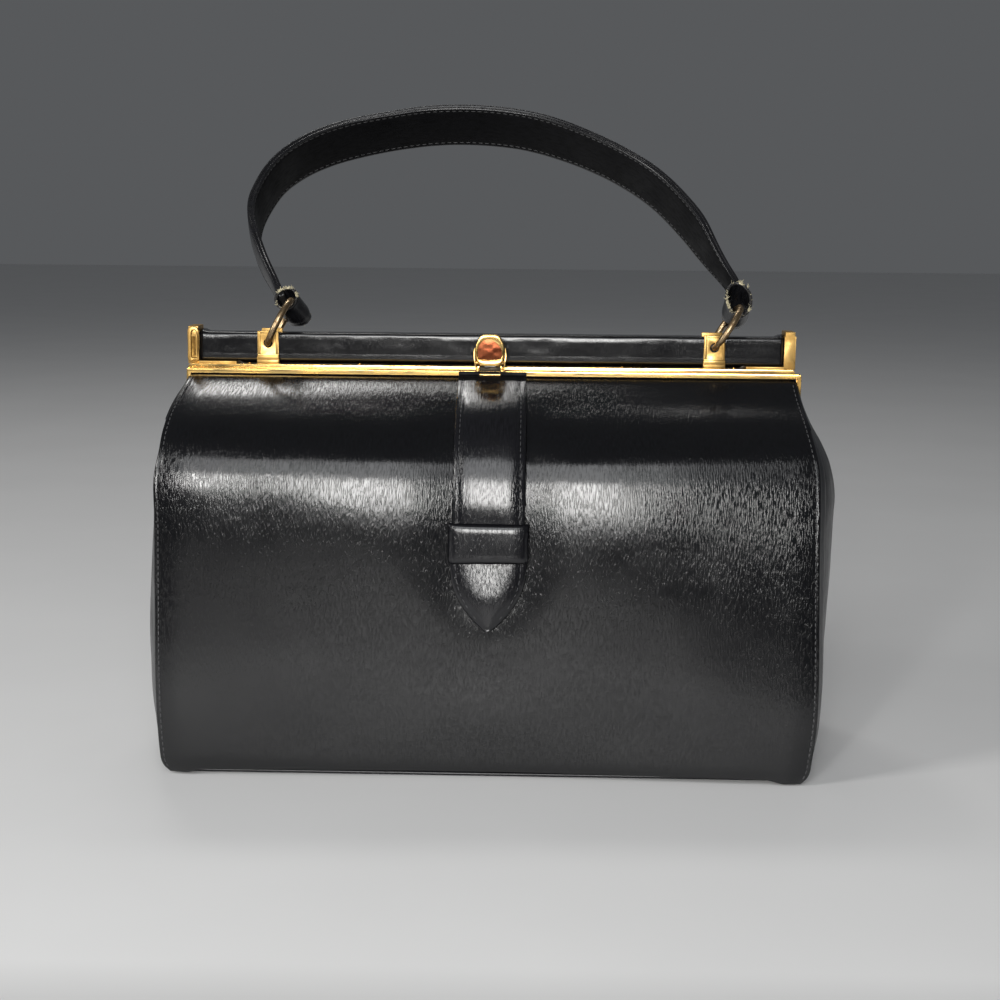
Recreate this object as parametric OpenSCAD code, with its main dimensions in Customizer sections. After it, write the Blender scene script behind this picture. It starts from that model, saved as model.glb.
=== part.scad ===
// Frame handbag with a hinged gold frame, a leather covered top bar, a flip
// clasp, a padded front belt and a strap handle on two wire rings.
// Millimetres. +Z up, the front is towards -Y, +X is the viewer's right.
// The origin is the centre of the base on the surface it stands on, and the
// plane y = 0 is where the two half frames meet.

/* [Body] */
// Width of the front and rear panels at their widest
panel_w = 297; // [292:1:302]
// Depth of the base from the front panel to the rear panel
base_d = 113; // [108:1:118]
// Height of the front rail's top edge above the base
rail_z = 181; // [178:1:184]
// Thickness of the outer leather
leather_t = 1.6; // [1.3:0.1:1.7]
// Thickness of the card stiffeners in the front and rear walls
board_t = 1.2; // [0.8:0.1:1.4]
// Thickness of the lining cloth and its backing
lining_t = 0.8; // [0.5:0.1:0.8]
// How far the side gussets swell out past the panels
gusset_bulge = 15; // [10:1:16]

/* [Frame] */
// Overall width of the front half frame
frame_w = 289; // [287:1:290]
// Height of the front rail's face
rail_h = 2.8; // [2.4:0.1:3]
// Drop from the rail's top edge to the hinge pins
hinge_drop = 63; // [56:1:66]
// Diameter of the two hinge pins
pin_d = 3; // [2.4:0.1:3.4]

/* [Top bar] */
// Height of the leather covered bar
bar_h = 13.4; // [12.4:0.2:14]
// Depth of the bar, front to rear
bar_d = 11; // [10:0.5:12]
// Width of each end cap
cap_w = 5.3; // [4.5:0.1:6]
// Distance between the two handle brackets' centres
bracket_gap = 209; // [200:1:214]
// Width of each handle bracket
bracket_w = 9.8; // [9:0.2:10.6]

/* [Clasp] */
// Width of the clasp's button
button_w = 14; // [13:0.5:14]
// Height of the clasp's button
button_h = 14.6; // [13.6:0.2:15]

/* [Belt] */
// Width of the belt on the front panel
belt_w = 32; // [28:1:34]
// Height of the belt's pointed tip above the base
belt_tip_z = 69; // [60:1:76]
// Height of the keeper's lower edge above the base
keeper_z = 99.5; // [96:0.5:104]
// Height of the keeper band
keeper_h = 18; // [14:1:20]

/* [Handle] */
// Width of the handle strap
strap_w = 25; // [22:1:27]
// Width of the strap at its end loops
strap_end_w = 14; // [12:0.5:15]
// Thickness of the stitched strap
strap_t = 4.5; // [3.9:0.3:5.1]
// Backward lean of the handle at rest, from upright
handle_lean = 46; // [42:1:50]
// Sideways lean of the left wire ring at rest, from upright
left_ring_lean = 27; // [25:1:29]
// Sideways lean of the right wire ring at rest, from upright
right_ring_lean = 33; // [31:1:35]
// Diameter of the rings' wire
wire_d = 2.6; // [2.2:0.1:2.8]

/* [Hidden] */
$fn = 48;

hb = base_d/2;
zr = rail_z;
kd = hb/56.5;
gap = 0.4;            // between the closed half frames
ch = 0.8;             // wall of the frame channels
rd = 4.4;             // depth of each frame channel
y_in = gap/2;         // inner face of each half frame
y_out = y_in + rd;    // outer face of each half frame
zh = zr - hinge_drop; // hinge pins
arm_t = 1.8;
xf = frame_w/2;              // front half frame, outside
xr = xf - arm_t - 0.4;       // rear half frame, outside
zt = zr + 1;                 // top of the rear half frame
bar_y0 = 2.4;                // front face of the bar
bar_y1 = bar_y0 + bar_d;
bar_z0 = zt + 1.4;
bar_z1 = bar_z0 + bar_h;
bar_x = xr - cap_w;          // where the cover ends and a cap begins
bt = 1.1;                    // bracket plate
hole_z = bar_z0 + 8.4;       // ring holes in the brackets
hole_r = 2.1;
wr = wire_d/2;
ring_y = (bar_y0 + bar_y1)/2;
ring_half = bar_d/2 + bt + 0.2 + wr + 0.1; // from the bar's middle to the wire's legs
ring_r = 12.5;
ring_up = sqrt(ring_r*ring_r - ring_half*ring_half);
swing_z = hole_z + ring_up*cos((left_ring_lean + right_ring_lean)/2); // the handle's swing axis
loop_r = 5.5;
loop_in = 4.5;
loop_e = 1.2;                // half of the oval loop's straight part
loop_len = 12.4;
belt_x = 1;                  // the belt sits a little right of centre

// ---------- curves ----------
// One point of a smooth curve through the points p, between point i and i+1
function cr(p, i, t) = let(n = len(p), a = p[max(i-1, 0)], b = p[i], c = p[min(i+1, n-1)], d = p[min(i+2, n-1)])
    0.5*((2*b) + (c - a)*t + (2*a - 5*b + 4*c - d)*t*t + (3*b - a - 3*c + d)*t*t*t);
function smooth(p, k) = concat([for (i = [0:len(p)-2], j = [0:k-1]) cr(p, i, j/k)], [p[len(p)-1]]);
function unit(v) = v/max(norm(v), 1e-9);
// Left-hand normal of a polyline at point i
function nrm(c, i) = let(t = unit(c[min(i+1, len(c)-1)] - c[max(i-1, 0)])) [-t[1], t[0]];
function off(c, d) = [for (i = [0:len(c)-1]) c[i] + nrm(c, i)*(is_list(d) ? d[i] : d)];
function rev(c) = [for (i = [len(c)-1:-1:0]) c[i]];
function lerp(a, b, t) = a + (b - a)*t;
function look(tab, x) = let(n = len(tab)) x <= tab[0][0] ? tab[0][1] : x >= tab[n-1][0] ? tab[n-1][1] :
    let(i = max([for (k = [0:n-2]) tab[k][0] <= x ? k : 0])) lerp(tab[i][1], tab[i+1][1], (x - tab[i][0])/(tab[i+1][0] - tab[i][0]));

// Outer face of the front and rear walls, as [distance from y = 0, height], from the rail down
WALL = [[3.55, zr-1.5], [3.6, zr-3.6], [6.6, zr-5.9], [20*kd, zr-12.6], [33.5*kd, zr-21.5], [43.3*kd, zr-32],
    [49.5*kd, zr-44], [53*kd, zr-63], [55*kd, 90], [56.2*kd, 55], [56.5*kd, 26], [56.4*kd, 8], [55.6*kd, 1.3]];
wall = smooth(WALL, 3);
// The same wall without the part inside the channel, for the stiffeners
stiff = [for (p = wall) if (p[1] < zr-10 && p[1] > 7) p];
// Half width of the panels by height
half_w = panel_w/2;
WIDE = [[1.3, half_w-4.5], [4, half_w-1.4], [9, half_w-0.3], [60, half_w], [110, half_w-1.2], [zr-39, half_w-2.6],
    [zr-25, half_w-4], [zr-13, half_w-5.2], [zr-6, xf-2.4], [zr-1.4, xf-2.4]];
function wall_d(z) = let(n = len(wall), k = [for (i = [0:n-2]) if (wall[i][1] >= z && wall[i+1][1] <= z) i],
    i = len(k) > 0 ? k[0] : n-2) lerp(wall[i][0], wall[i+1][0], (wall[i][1] - z)/max(wall[i][1] - wall[i+1][1], 1e-6));

module outline_xz(inset = 0, lo = -50, hi = 400) {
    pts = [for (p = WIDE) [p[1] - inset, p[0]]];
    translate([0, 100, 0]) rotate([90, 0, 0]) linear_extrude(200)
        intersection() {
            polygon(concat(pts, rev([for (p = pts) [-p[0], p[1]]])));
            translate([-200, lo]) square([400, hi - lo]);
        }
}
// A sheet that follows the curve c (its outer face) between offsets a and b, over the full width
module sheet_x(c, a, b, w) {
    pts = concat(off(c, a), rev(off(c, b)));
    translate([-w/2, 0, 0]) rotate([90, 0, 90]) linear_extrude(w) polygon([for (p = pts) [-p[0], p[1]]]);
}
// Inward is to the right of the wall curve, so the offsets below are negative
module wall_leather() intersection() {
    sheet_x(wall, 0, -leather_t, panel_w + 10);
    outline_xz();
}
module wall_board() intersection() {
    sheet_x(stiff, -leather_t - 0.1, -leather_t - 0.1 - board_t, panel_w);
    outline_xz(8);
}
module wall_lining() {
    a = [for (p = wall) -leather_t - 0.1 - (board_t + 0.1)*min(1, max(0, (zr - 3 - p[1])/6))];
    b = [for (x = a) x - lining_t + 0.1];
    difference() {
        intersection() {
            sheet_x(wall, a, b, panel_w);
            outline_xz(6.5, 5.6, zr - 1.6);
        }
        // room for the channel's inner wall
        translate([-200, -y_in - ch - 0.12, zr - 6]) cube([400, 10, 10]);
    }
}

// ---------- gussets ----------
// Rows of a gusset from its top to the floor and in under the base:
// [height, x at the seams, swell at the middle, half depth at the seams]
function g_edge(z) = max(3, wall_d(z) - leather_t - 0.5);
G = concat(
    [for (q = [[zr-8, 0.6], [zr-12, 1.4], [zr-17, 2.6], [zr-23, 5], [zr-30, 9], [zr-38, 12.4], [zr-48, 14.4], [zr-62, 15],
        [100, 15], [80, 14.6], [60, 14.2], [40, 14.2], [24, 14.2], [13, 13.6], [6, 12.2], [2.4, 10]])
        [q[0], max(xf + 0.3 + leather_t, look(WIDE, q[0]) - 1.4), q[1]*gusset_bulge/15, g_edge(q[0])]],
    [[0.9, half_w - 3, 7.4*gusset_bulge/15, g_edge(1.4)], [0.1, half_w - 4, 4*gusset_bulge/15, g_edge(1.4) - 0.3], [0.1, half_w - 4.4, 0.4, g_edge(1.4) - 0.6]]);
NU = 12;
function g_pt(r, j) = let(u = 2*j/NU - 1, f = pow(max(0, 1 - u*u), 0.85)) [r[1] + r[2]*f, u*r[3], r[0]];
function cross_n(a, b, c, d) = unit(cross(b - a, d - c));
// Grid of points on the surface and, offset inward by t, behind it
function g_grid(R, t) = let(n = len(R), P = [for (i = [0:n-1]) [for (j = [0:NU]) g_pt(R[i], j)]])
    [for (i = [0:n-1]) [for (j = [0:NU]) P[i][j] + t*cross_n(P[i][max(j-1, 0)], P[i][min(j+1, NU)], P[max(i-1, 0)][j], P[min(i+1, n-1)][j])]];
module shell(A, B) {
    n = len(A);
    m = NU + 1;
    pts = concat([for (r = A, p = r) p], [for (r = B, p = r) p]);
    o = n*m;
    top = [for (i = [0:n-2], j = [0:m-2], k = [0, 1]) k == 0 ? [i*m+j, i*m+j+1, (i+1)*m+j+1] : [i*m+j, (i+1)*m+j+1, (i+1)*m+j]];
    bot = [for (f = top) [f[2]+o, f[1]+o, f[0]+o]];
    rim = concat(
        [for (j = [0:m-2], k = [0, 1]) k == 0 ? [j, o+j, o+j+1] : [j, o+j+1, j+1]],
        [for (j = [0:m-2], k = [0, 1]) let(s = (n-1)*m) k == 0 ? [s+j+1, o+s+j+1, o+s+j] : [s+j+1, o+s+j, s+j]],
        [for (i = [0:n-2], k = [0, 1]) k == 0 ? [(i+1)*m, o+(i+1)*m, o+i*m] : [(i+1)*m, o+i*m, i*m]],
        [for (i = [0:n-2], k = [0, 1]) let(e = m-1) k == 0 ? [i*m+e, o+i*m+e, o+(i+1)*m+e] : [i*m+e, o+(i+1)*m+e, (i+1)*m+e]]);
    polyhedron(pts, concat(top, bot, rim));
}
module gusset() shell(g_grid(G, 0), g_grid(G, leather_t));
// The gusset lining hangs inside the frame's arms and swells below the hinge
GL = [for (q = [[zr-12, 0], [zr-20, 0], [zr-32, 0], [zr-46, 0], [zh-3, 0], [zh-14, 2.5], [zh-28, 6.5], [zh-44, 9], [52, 10], [30, 10], [14, 9.4], [6.4, 8]])
    [q[0], min(xr - arm_t - 1.3, look(WIDE, q[0]) - 9), q[1], max(2, g_edge(q[0]) - board_t - 1.6 - (q[0] > zr - 34 ? 3.6 : q[0] > zr - 50 ? 1.4 : 0.6))]];
module gusset_lining() shell(g_grid(GL, 0), g_grid(GL, lining_t));

// ---------- soft body ----------
module rear_panel() color([0.05, 0.05, 0.06]) mirror([0, 1, 0]) difference() {
    wall_leather();
    // top corners cut away round the rear arms
    for (s = [-1, 1]) translate([s > 0 ? xr - arm_t - 0.15 : -200, -y_out - 0.15, zh]) cube([200 - xr + arm_t + 0.15, 10, 100]);
}
module front_panel() color([0.05, 0.05, 0.06]) wall_leather();
module base_panel() color([0.05, 0.05, 0.06]) translate([-(half_w - 5), -(hb - 4), 0]) cube([2*(half_w - 5), 2*(hb - 4), leather_t]);
module left_gusset() color([0.05, 0.05, 0.06]) mirror([1, 0, 0]) gusset();
module right_gusset() color([0.05, 0.05, 0.06]) gusset();
module rear_board() color([0.5, 0.42, 0.3]) mirror([0, 1, 0]) wall_board();
module front_board() color([0.5, 0.42, 0.3]) wall_board();
module base_board() color([0.5, 0.42, 0.3]) translate([-(half_w - 9), -(hb - 6), leather_t + 0.1]) cube([2*(half_w - 9), 2*(hb - 6), 2.4]);
module rear_lining() color([0.2, 0.18, 0.17]) mirror([0, 1, 0]) wall_lining();
module front_lining() color([0.2, 0.18, 0.17]) wall_lining();
module base_lining() color([0.2, 0.18, 0.17]) translate([-(half_w - 10), -(hb - 6.5), leather_t + 2.6]) cube([2*(half_w - 10), 2*(hb - 6.5), lining_t]);
module left_gusset_lining() color([0.2, 0.18, 0.17]) mirror([1, 0, 0]) gusset_lining();
module right_gusset_lining() color([0.2, 0.18, 0.17]) gusset_lining();
// Slip pocket on the rear lining
pocket = [for (p = wall) if (p[1] < zr - 50 && p[1] > 28) p];
pk = leather_t + board_t + lining_t + 0.35;
module inner_pocket() color([0.24, 0.21, 0.2]) mirror([0, 1, 0]) intersection() {
    sheet_x(pocket, -pk, -pk - lining_t, 170);
    translate([-85, -200, 0]) cube([170, 400, 200]);
}

// ---------- frame ----------
// A rail and two arms that end in hinge eyes, on the -Y side of the closing plane
module half_frame(xo, ztop, face) {
    difference() {
        union() {
            // rail, open below for the leather's edge
            difference() {
                translate([-xo, -y_out, ztop - face]) cube([2*xo, rd, face]);
                translate([-xo + arm_t, -y_out + ch, ztop - face - 1]) cube([2*xo - 2*arm_t, rd - 2*ch, face + 1 - ch]);
            }
            for (s = [-1, 1]) {
                translate([s > 0 ? xo - arm_t : -xo, -y_out, zh]) cube([arm_t, rd, ztop - zh - 0.5]);
                translate([s > 0 ? xo - arm_t : -xo, 0, zh]) rotate([0, 90, 0]) cylinder(r = y_out, h = arm_t);
            }
        }
        for (s = [-1, 1]) translate([s*xo - arm_t*2, 0, zh]) rotate([0, 90, 0]) cylinder(r = pin_d/2 + 0.05, h = arm_t*4);
        // rounded outer corners
        for (s = [-1, 1]) translate([s*xo, 0, ztop]) rotate([90, 0, 0]) difference() {
            translate([-1.8, -1.8, -10]) cube([3.6, 3.6, 20]);
            translate([-s*1.8, -1.8, -11]) cylinder(r = 1.8, h = 22);
        }
    }
}
module front_frame() color([0.85, 0.65, 0.25]) difference() {
    half_frame(xf, zr, rail_h);
    for (s = [-1, 1]) translate([s*5, -2.4, zr - 3]) cylinder(r = 0.85, h = 6);
}
module rear_frame() color([0.85, 0.65, 0.25]) difference() {
    union() {
        mirror([0, 1, 0]) half_frame(xr, zt, rail_h + 1);
        translate([-xr + 2, y_in, zt - ch]) cube([2*xr - 4, bar_y1 - y_in - 0.4, ch]);
    }
    for (x = RIVETS) translate([x, ring_y, zt - 3]) cylinder(r = 1.25, h = 6);
}
module hinge_pins() color([0.8, 0.62, 0.28]) for (s = [-1, 1]) mirror([s < 0 ? 1 : 0, 0, 0]) {
    translate([xr - arm_t - 0.8, 0, zh]) rotate([0, 90, 0]) cylinder(r = pin_d/2 + 1.1, h = 0.7);
    translate([xr - arm_t - 0.8, 0, zh]) rotate([0, 90, 0]) cylinder(r = pin_d/2, h = xf - xr + arm_t + 0.95);
    translate([xf + 0.1, 0, zh]) rotate([0, 90, 0]) cylinder(r = pin_d/2 + 1.1, h = 0.6);
}

// ---------- top bar ----------
RIVETS = [-114.5, -62, 62, 114.5];
module bar_section(inset, r) offset(r = r) offset(delta = -r - inset) square([bar_d, bar_h]);
module bar_drill() {
    for (s = [-1, 1]) translate([s*bracket_gap/2, bar_y0 - 5, hole_z]) rotate([-90, 0, 0]) cylinder(r = hole_r + 0.2, h = bar_d + 10);
    for (x = RIVETS) translate([x, ring_y, bar_z0 - 1]) cylinder(r = 1.25, h = 7.05);
}
module bar_cover() color([0.05, 0.05, 0.06]) difference() {
    translate([-bar_x, bar_y0, bar_z0]) rotate([90, 0, 90]) linear_extrude(2*bar_x) difference() {
        hull() for (x = [1.5, bar_d-1.5], y = [1.5, bar_h-1.5]) translate([x, y]) circle(r = 1.5, $fn = 24);
        translate([1.1, 1.1]) square([bar_d - 2.2, bar_h - 2.2]);
    }
    bar_drill();
}
module bar_core() color([0.6, 0.5, 0.36]) difference() {
    translate([-bar_x, bar_y0 + 1.15, bar_z0 + 1.15]) cube([2*bar_x, bar_d - 2.3, bar_h - 2.3]);
    bar_drill();
}
module bar_rivets() color([0.75, 0.6, 0.3]) for (x = RIVETS) translate([x, ring_y, 0]) {
    translate([0, 0, zt - ch - 0.8]) cylinder(r = 2.3, h = 0.8);
    translate([0, 0, zt - ch - 0.8]) cylinder(r = 1.2, h = ch + 0.8 + 1.4 + 5.8);
}
// End cap with a foot that runs in under the bar; the grooved one has a sunk front face
module end_cap(groove) {
    y0 = bar_y0 - 1;
    y1 = bar_y1 + 1;
    difference() {
        union() {
            translate([bar_x, y0, zt]) cube([cap_w, y1 - y0, bar_z1 - zt + 0.6]);
            translate([bar_x + 0.4, (y0 + y1)/2, bar_z1 + 0.6]) rotate([0, 90, 0]) cylinder(r = (y1 - y0)/2, h = cap_w - 0.8);
            translate([bar_x - 17.5, 1.2, zt]) cube([17.6, bar_y1 - 1.4, 1.2]);
        }
        translate([bar_x - 20, -50, bar_z1 + 2.6]) cube([60, 100, 30]);
        translate([bar_x - 0.1, bar_y0 - 0.1, bar_z0 - 0.1]) cube([1.2, bar_d + 0.2, bar_h + 0.2]);
        if (groove) translate([bar_x + 1.6, y0 - 1, bar_z0 + 1.2]) cube([2.2, 1.7, bar_h - 3.4]);
    }
}
module left_end_cap() color([0.85, 0.65, 0.25]) mirror([1, 0, 0]) end_cap(true);
module right_end_cap() color([0.85, 0.65, 0.25]) end_cap(false);
// Bent saddle round the bar, with a ring hole in each cheek
module bracket() difference() {
    union() {
        translate([-bracket_w/2, bar_y0 - 0.1 - bt, zt]) cube([bracket_w, bt, bar_z1 + 0.7 - zt]);
        translate([-bracket_w/2, bar_y1 + 0.1, zt]) cube([bracket_w, bt, bar_z1 + 1.2 - zt]);
        translate([-bracket_w/2, bar_y0 - 0.1 - bt, zt]) cube([bracket_w, bar_d + 0.2 + 2*bt, 1.2]);
        translate([-bracket_w/2 - 0.3, bar_y0 - 0.5 - bt, zt]) cube([bracket_w + 0.6, 1.2, 3.4]);
    }
    translate([0, -20, hole_z]) rotate([-90, 0, 0]) cylinder(r = hole_r, h = 60);
}
module left_handle_bracket() color([0.85, 0.65, 0.25]) translate([-bracket_gap/2, 0, 0]) bracket();
module right_handle_bracket() color([0.85, 0.65, 0.25]) translate([bracket_gap/2, 0, 0]) bracket();
// Slotted plate on the bar's face that the clasp's nose enters
nose_z = zr + 11.8;
module catch_plate() color([0.85, 0.65, 0.25]) difference() {
    translate([-5, bar_y0 - 1, nose_z - 4]) cube([10, 1, 8]);
    translate([-2.8, bar_y0 - 3, nose_z - 1.5]) cube([5.6, 6, 3.2]);
}

// ---------- clasp ----------
py = -6.4;       // clasp pin
pz = zr + 3.5;
button_z = zr + 2.2;
module clasp_base() color([0.85, 0.65, 0.25]) {
    difference() {
        translate([-8, -4.4, zr]) cube([16, 4, 1]);
        for (s = [-1, 1]) translate([s*5, -2.4, zr - 3]) cylinder(r = 0.85, h = 6);
    }
    for (s = [-1, 1]) difference() {
        union() {
            translate([s > 0 ? 6.9 : -8, py - 2.1, zr]) cube([1.1, 6.1, pz - zr]);
            translate([s > 0 ? 6.9 : -8, py, pz]) rotate([0, 90, 0]) cylinder(r = 2.1, h = 1.1);
            translate([s > 0 ? 6.9 : -8, -9.2, zr - 2.8]) cube([1.1, 1.9, 4.2]);
        }
        translate([s*7.5 - 3, py, pz]) rotate([0, 90, 0]) cylinder(r = 0.85, h = 6);
    }
    translate([-7.4, -8.9, zr - 2.8]) cube([14.8, 1.5, 1.1]);
}
module clasp_pin() color([0.8, 0.62, 0.28]) {
    translate([-8.2, py, pz]) rotate([0, 90, 0]) cylinder(r = 0.8, h = 16.4);
    for (s = [-1, 1]) translate([s > 0 ? 8.1 : -8.7, py, pz]) rotate([0, 90, 0]) cylinder(r = 1.3, h = 0.6);
}
module clasp_spring() color([0.7, 0.7, 0.68]) {
    translate([-2.6, -4.3, zr + 1]) cube([5.2, 3.6, 0.4]);
    translate([-2.6, -4.3, zr + 1]) cube([5.2, 0.4, 6]);
}
module clasp_rivets() color([0.8, 0.62, 0.28]) for (s = [-1, 1]) translate([s*5, -2.4, 0]) {
    translate([0, 0, zr + 1]) cylinder(r = 1.4, h = 0.6);
    translate([0, 0, zr - ch]) cylinder(r = 0.8, h = ch + 1.2);
}
function button_pts(g) = let(w = button_w/2 - g, h = button_h - 2*g, z = button_z + g)
    [[-0.67*w, z], [0.67*w, z], [0.9*w, z + 0.1*h], [0.97*w, z + 0.28*h], [w, z + 0.52*h], [0.93*w, z + 0.8*h], [0.8*w, z + 0.93*h], [0.6*w, z + h],
     [-0.6*w, z + h], [-0.8*w, z + 0.93*h], [-0.93*w, z + 0.8*h], [-w, z + 0.52*h], [-0.97*w, z + 0.28*h], [-0.9*w, z + 0.1*h]];
module plate(p, y0, y1) translate([0, y1, 0]) rotate([90, 0, 0]) linear_extrude(y1 - y0) polygon(p);
module clasp_lever() color([0.85, 0.65, 0.25]) difference() {
    union() {
        plate(button_pts(0.5), -10.1, -9.5);
        plate(button_pts(0), -9.6, -7.4);
        translate([-6.6, py, pz]) rotate([0, 90, 0]) cylinder(r = 1.7, h = 13.2);
        translate([-6.2, -7.8, pz - 1]) cube([12.4, 2, 3]);
        translate([-2.2, -7.8, nose_z - 0.7]) cube([4.4, 7.8 + bar_y0 - 0.5, 1.5]);
    }
    translate([-10, py, pz]) rotate([0, 90, 0]) cylinder(r = 0.85, h = 20);
    plate(button_pts(1.5), -11, -9.2);
}
module clasp_face() color([0.6, 0.3, 0.2]) plate(button_pts(1.55), -9.55, -9.2);

// ---------- belt ----------
BELT = [[4.9, zr-0.8], [5.7, zr-3.0], [8.6, zr-4.5], [21.2*kd, zr-10.2], [35.6*kd, zr-19.6], [46*kd, zr-31], [52.4*kd, zr-43.6],
    [56*kd, zr-63], [58*kd, 90], [59.2*kd, 55]];
belt = smooth(BELT, 3);
belt_up = [for (p = belt) min(1.9, 0.9 + max(0, zr - 3 - p[1])*0.12)];
module belt_xz(w, tip, top) translate([belt_x, 100, 0]) rotate([90, 0, 0]) linear_extrude(200)
    polygon([[-w/2, top], [-w/2, tip + 0.5*w], [-0.33*w, tip + 0.29*w], [0, tip], [0.33*w, tip + 0.29*w], [w/2, tip + 0.5*w], [w/2, top]]);
module front_belt() color([0.05, 0.05, 0.06]) intersection() {
    sheet_x(belt, 0, belt_up, 60);
    belt_xz(belt_w, belt_tip_z, zr + 5);
}
module belt_padding() color([0.6, 0.58, 0.5]) {
    n = len(wall);
    inner = [for (p = wall) if (p[1] < zr - 9 && p[1] > belt_tip_z + 4) p];
    intersection() {
        sheet_x(inner, 0.1, 2.1, 60);
        belt_xz(belt_w - 7, belt_tip_z + 6, zr + 5);
    }
}
module belt_keeper() color([0.05, 0.05, 0.06]) {
    x0 = belt_w/2 + 1.9;
    d0 = wall_d(keeper_z) + 0.15;
    d1 = 58.3*kd + 1.9;
    difference() {
        translate([belt_x - x0, -d1 - 1.9, keeper_z]) cube([2*x0, d1 + 1.9 - d0, keeper_h]);
        translate([belt_x - belt_w/2 - 0.3, -d1 - 0.3, keeper_z - 1]) cube([belt_w + 0.6, 40, keeper_h + 2]);
    }
}

// ---------- handle ----------
// The strap's line in the handle's plane, as [x, height above the swing axis]
ARCH = [[-99.5, 13], [-104.5, 25], [-112, 41], [-118.5, 60], [-118.5, 79], [-109, 104], [-88, 123], [-54, 135.5], [-20, 140.5], [16, 136],
    [49, 120.5], [77, 98], [96.5, 70], [107.5, 42], [114, 22], [114.6, 12]];
arch = smooth(ARCH, 4);
// Loop centres as [x, height above the swing axis] in the handle's plane
left_at = [-bracket_gap/2 + 16.2*sin(left_ring_lean), 10.8];
right_at = [bracket_gap/2 + 16.5*sin(right_ring_lean), 9.8];
module in_handle() translate([0, ring_y, swing_z]) rotate([-handle_lean, 0, 0]) children();
// One layer of the strap between offsets a and b of its line, outward positive
module strap(a, b, inset) in_handle() difference() {
    intersection() {
        rotate([90, 0, 0]) linear_extrude(strap_w - 2*inset, center = true) polygon(concat(off(arch, a), rev(off(arch, b))));
        rotate([90, 0, 90]) linear_extrude(400, center = true) {
            w = strap_w/2 - inset;
            e = strap_end_w/2 - inset;
            polygon([[-e, 0], [-e, 20], [-w + 1.4, 42], [-w, 58], [-w, 200], [w, 200], [w, 58], [w - 1.4, 42], [e, 20], [e, 0]]);
        }
    }
    for (q = [left_at, right_at]) translate([q[0], 0, q[1]]) oval(loop_r + 0.03, 60);
}
module handle_outer() color([0.05, 0.05, 0.06]) strap(strap_t/2 - 1.5, strap_t/2, 0);
module handle_core() color([0.45, 0.4, 0.3]) strap(-strap_t/2 + 1.5, strap_t/2 - 1.5, 1.6);
module handle_inner() color([0.05, 0.05, 0.06]) strap(-strap_t/2, -strap_t/2 + 1.5, 0);
module oval(r, h) rotate([90, 0, 0]) linear_extrude(h, center = true) {
    translate([0, loop_e]) circle(r = r);
    translate([0, -loop_e]) circle(r = r);
    square([2*r, 2*loop_e], center = true);
}
module loop_at(q) in_handle() translate([q[0], 0, q[1]]) difference() {
    oval(loop_r, loop_len);
    oval(loop_in, loop_len + 2);
}
module left_loop() color([0.05, 0.05, 0.06]) loop_at(left_at);
module right_loop() color([0.05, 0.05, 0.06]) loop_at(right_at);
// Bent wire ring: its two ends turn in through the bracket's holes
module ring_at(x, lean) translate([x, ring_y, hole_z]) rotate([0, lean, 0]) {
    a = asin(ring_up/ring_r);
    translate([0, 0, ring_up]) rotate([0, -90, 0]) rotate([0, 0, -180 + 90 - a + 0]) translate([0, 0, 0])
        rotate_extrude(angle = 180 + 2*a, $fn = 64) translate([ring_r, 0]) circle(r = wr, $fn = 24);
    for (s = [-1, 1]) {
        translate([0, s*ring_half, 0]) sphere(r = wr + 0.02, $fn = 32);
        translate([0, s*ring_half, 0]) rotate([s*90, 0, 0]) cylinder(r = wr, h = bt + 1.6 + wr, $fn = 32);
    }
}
module left_ring() color([0.45, 0.36, 0.24]) ring_at(-bracket_gap/2, left_ring_lean);
module right_ring() color([0.45, 0.36, 0.24]) ring_at(bracket_gap/2, right_ring_lean);

rear_panel();
base_panel();
left_gusset();
right_gusset();
rear_board();
base_board();
rear_lining();
base_lining();
left_gusset_lining();
right_gusset_lining();
inner_pocket();
rear_frame();
hinge_pins();
bar_core();
bar_cover();
bar_rivets();
left_end_cap();
right_end_cap();
left_handle_bracket();
right_handle_bracket();
catch_plate();
front_frame();
clasp_base();
clasp_pin();
clasp_spring();
clasp_rivets();
front_panel();
front_board();
front_lining();
front_belt();
belt_padding();
belt_keeper();
clasp_lever();
clasp_face();
left_ring();
right_ring();
handle_outer();
handle_core();
handle_inner();
left_loop();
right_loop();
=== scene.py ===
import bpy
import bmesh
import math
import random
from mathutils import Matrix, Vector, noise


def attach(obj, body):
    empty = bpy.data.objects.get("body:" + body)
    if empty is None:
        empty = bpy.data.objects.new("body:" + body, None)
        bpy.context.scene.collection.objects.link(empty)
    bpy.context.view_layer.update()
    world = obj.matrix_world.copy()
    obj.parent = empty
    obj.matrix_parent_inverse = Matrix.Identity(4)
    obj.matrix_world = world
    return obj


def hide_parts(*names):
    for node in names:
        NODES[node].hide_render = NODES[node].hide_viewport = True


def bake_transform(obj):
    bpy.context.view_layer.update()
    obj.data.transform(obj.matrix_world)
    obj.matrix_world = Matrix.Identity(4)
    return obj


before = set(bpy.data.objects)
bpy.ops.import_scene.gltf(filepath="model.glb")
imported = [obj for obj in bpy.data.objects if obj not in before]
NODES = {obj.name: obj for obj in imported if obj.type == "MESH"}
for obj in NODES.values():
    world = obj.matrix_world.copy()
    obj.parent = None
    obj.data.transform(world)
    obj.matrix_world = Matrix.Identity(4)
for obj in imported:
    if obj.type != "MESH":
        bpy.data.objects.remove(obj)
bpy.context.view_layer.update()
MM = 0.001
RNG = random.Random(7)

# ------------------------------------------------------------------ curves and small helpers (millimetres)
def smooth01(t):
    t = max(0.0, min(1.0, t))
    return t * t * (3 - 2 * t)


def lerp(a, b, t):
    return a + (b - a) * t


def look(tab, x):
    if x <= tab[0][0]:
        return tab[0][1]
    for (x0, y0), (x1, y1) in zip(tab, tab[1:]):
        if x <= x1:
            return lerp(y0, y1, (x - x0) / (x1 - x0))
    return tab[-1][1]


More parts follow.
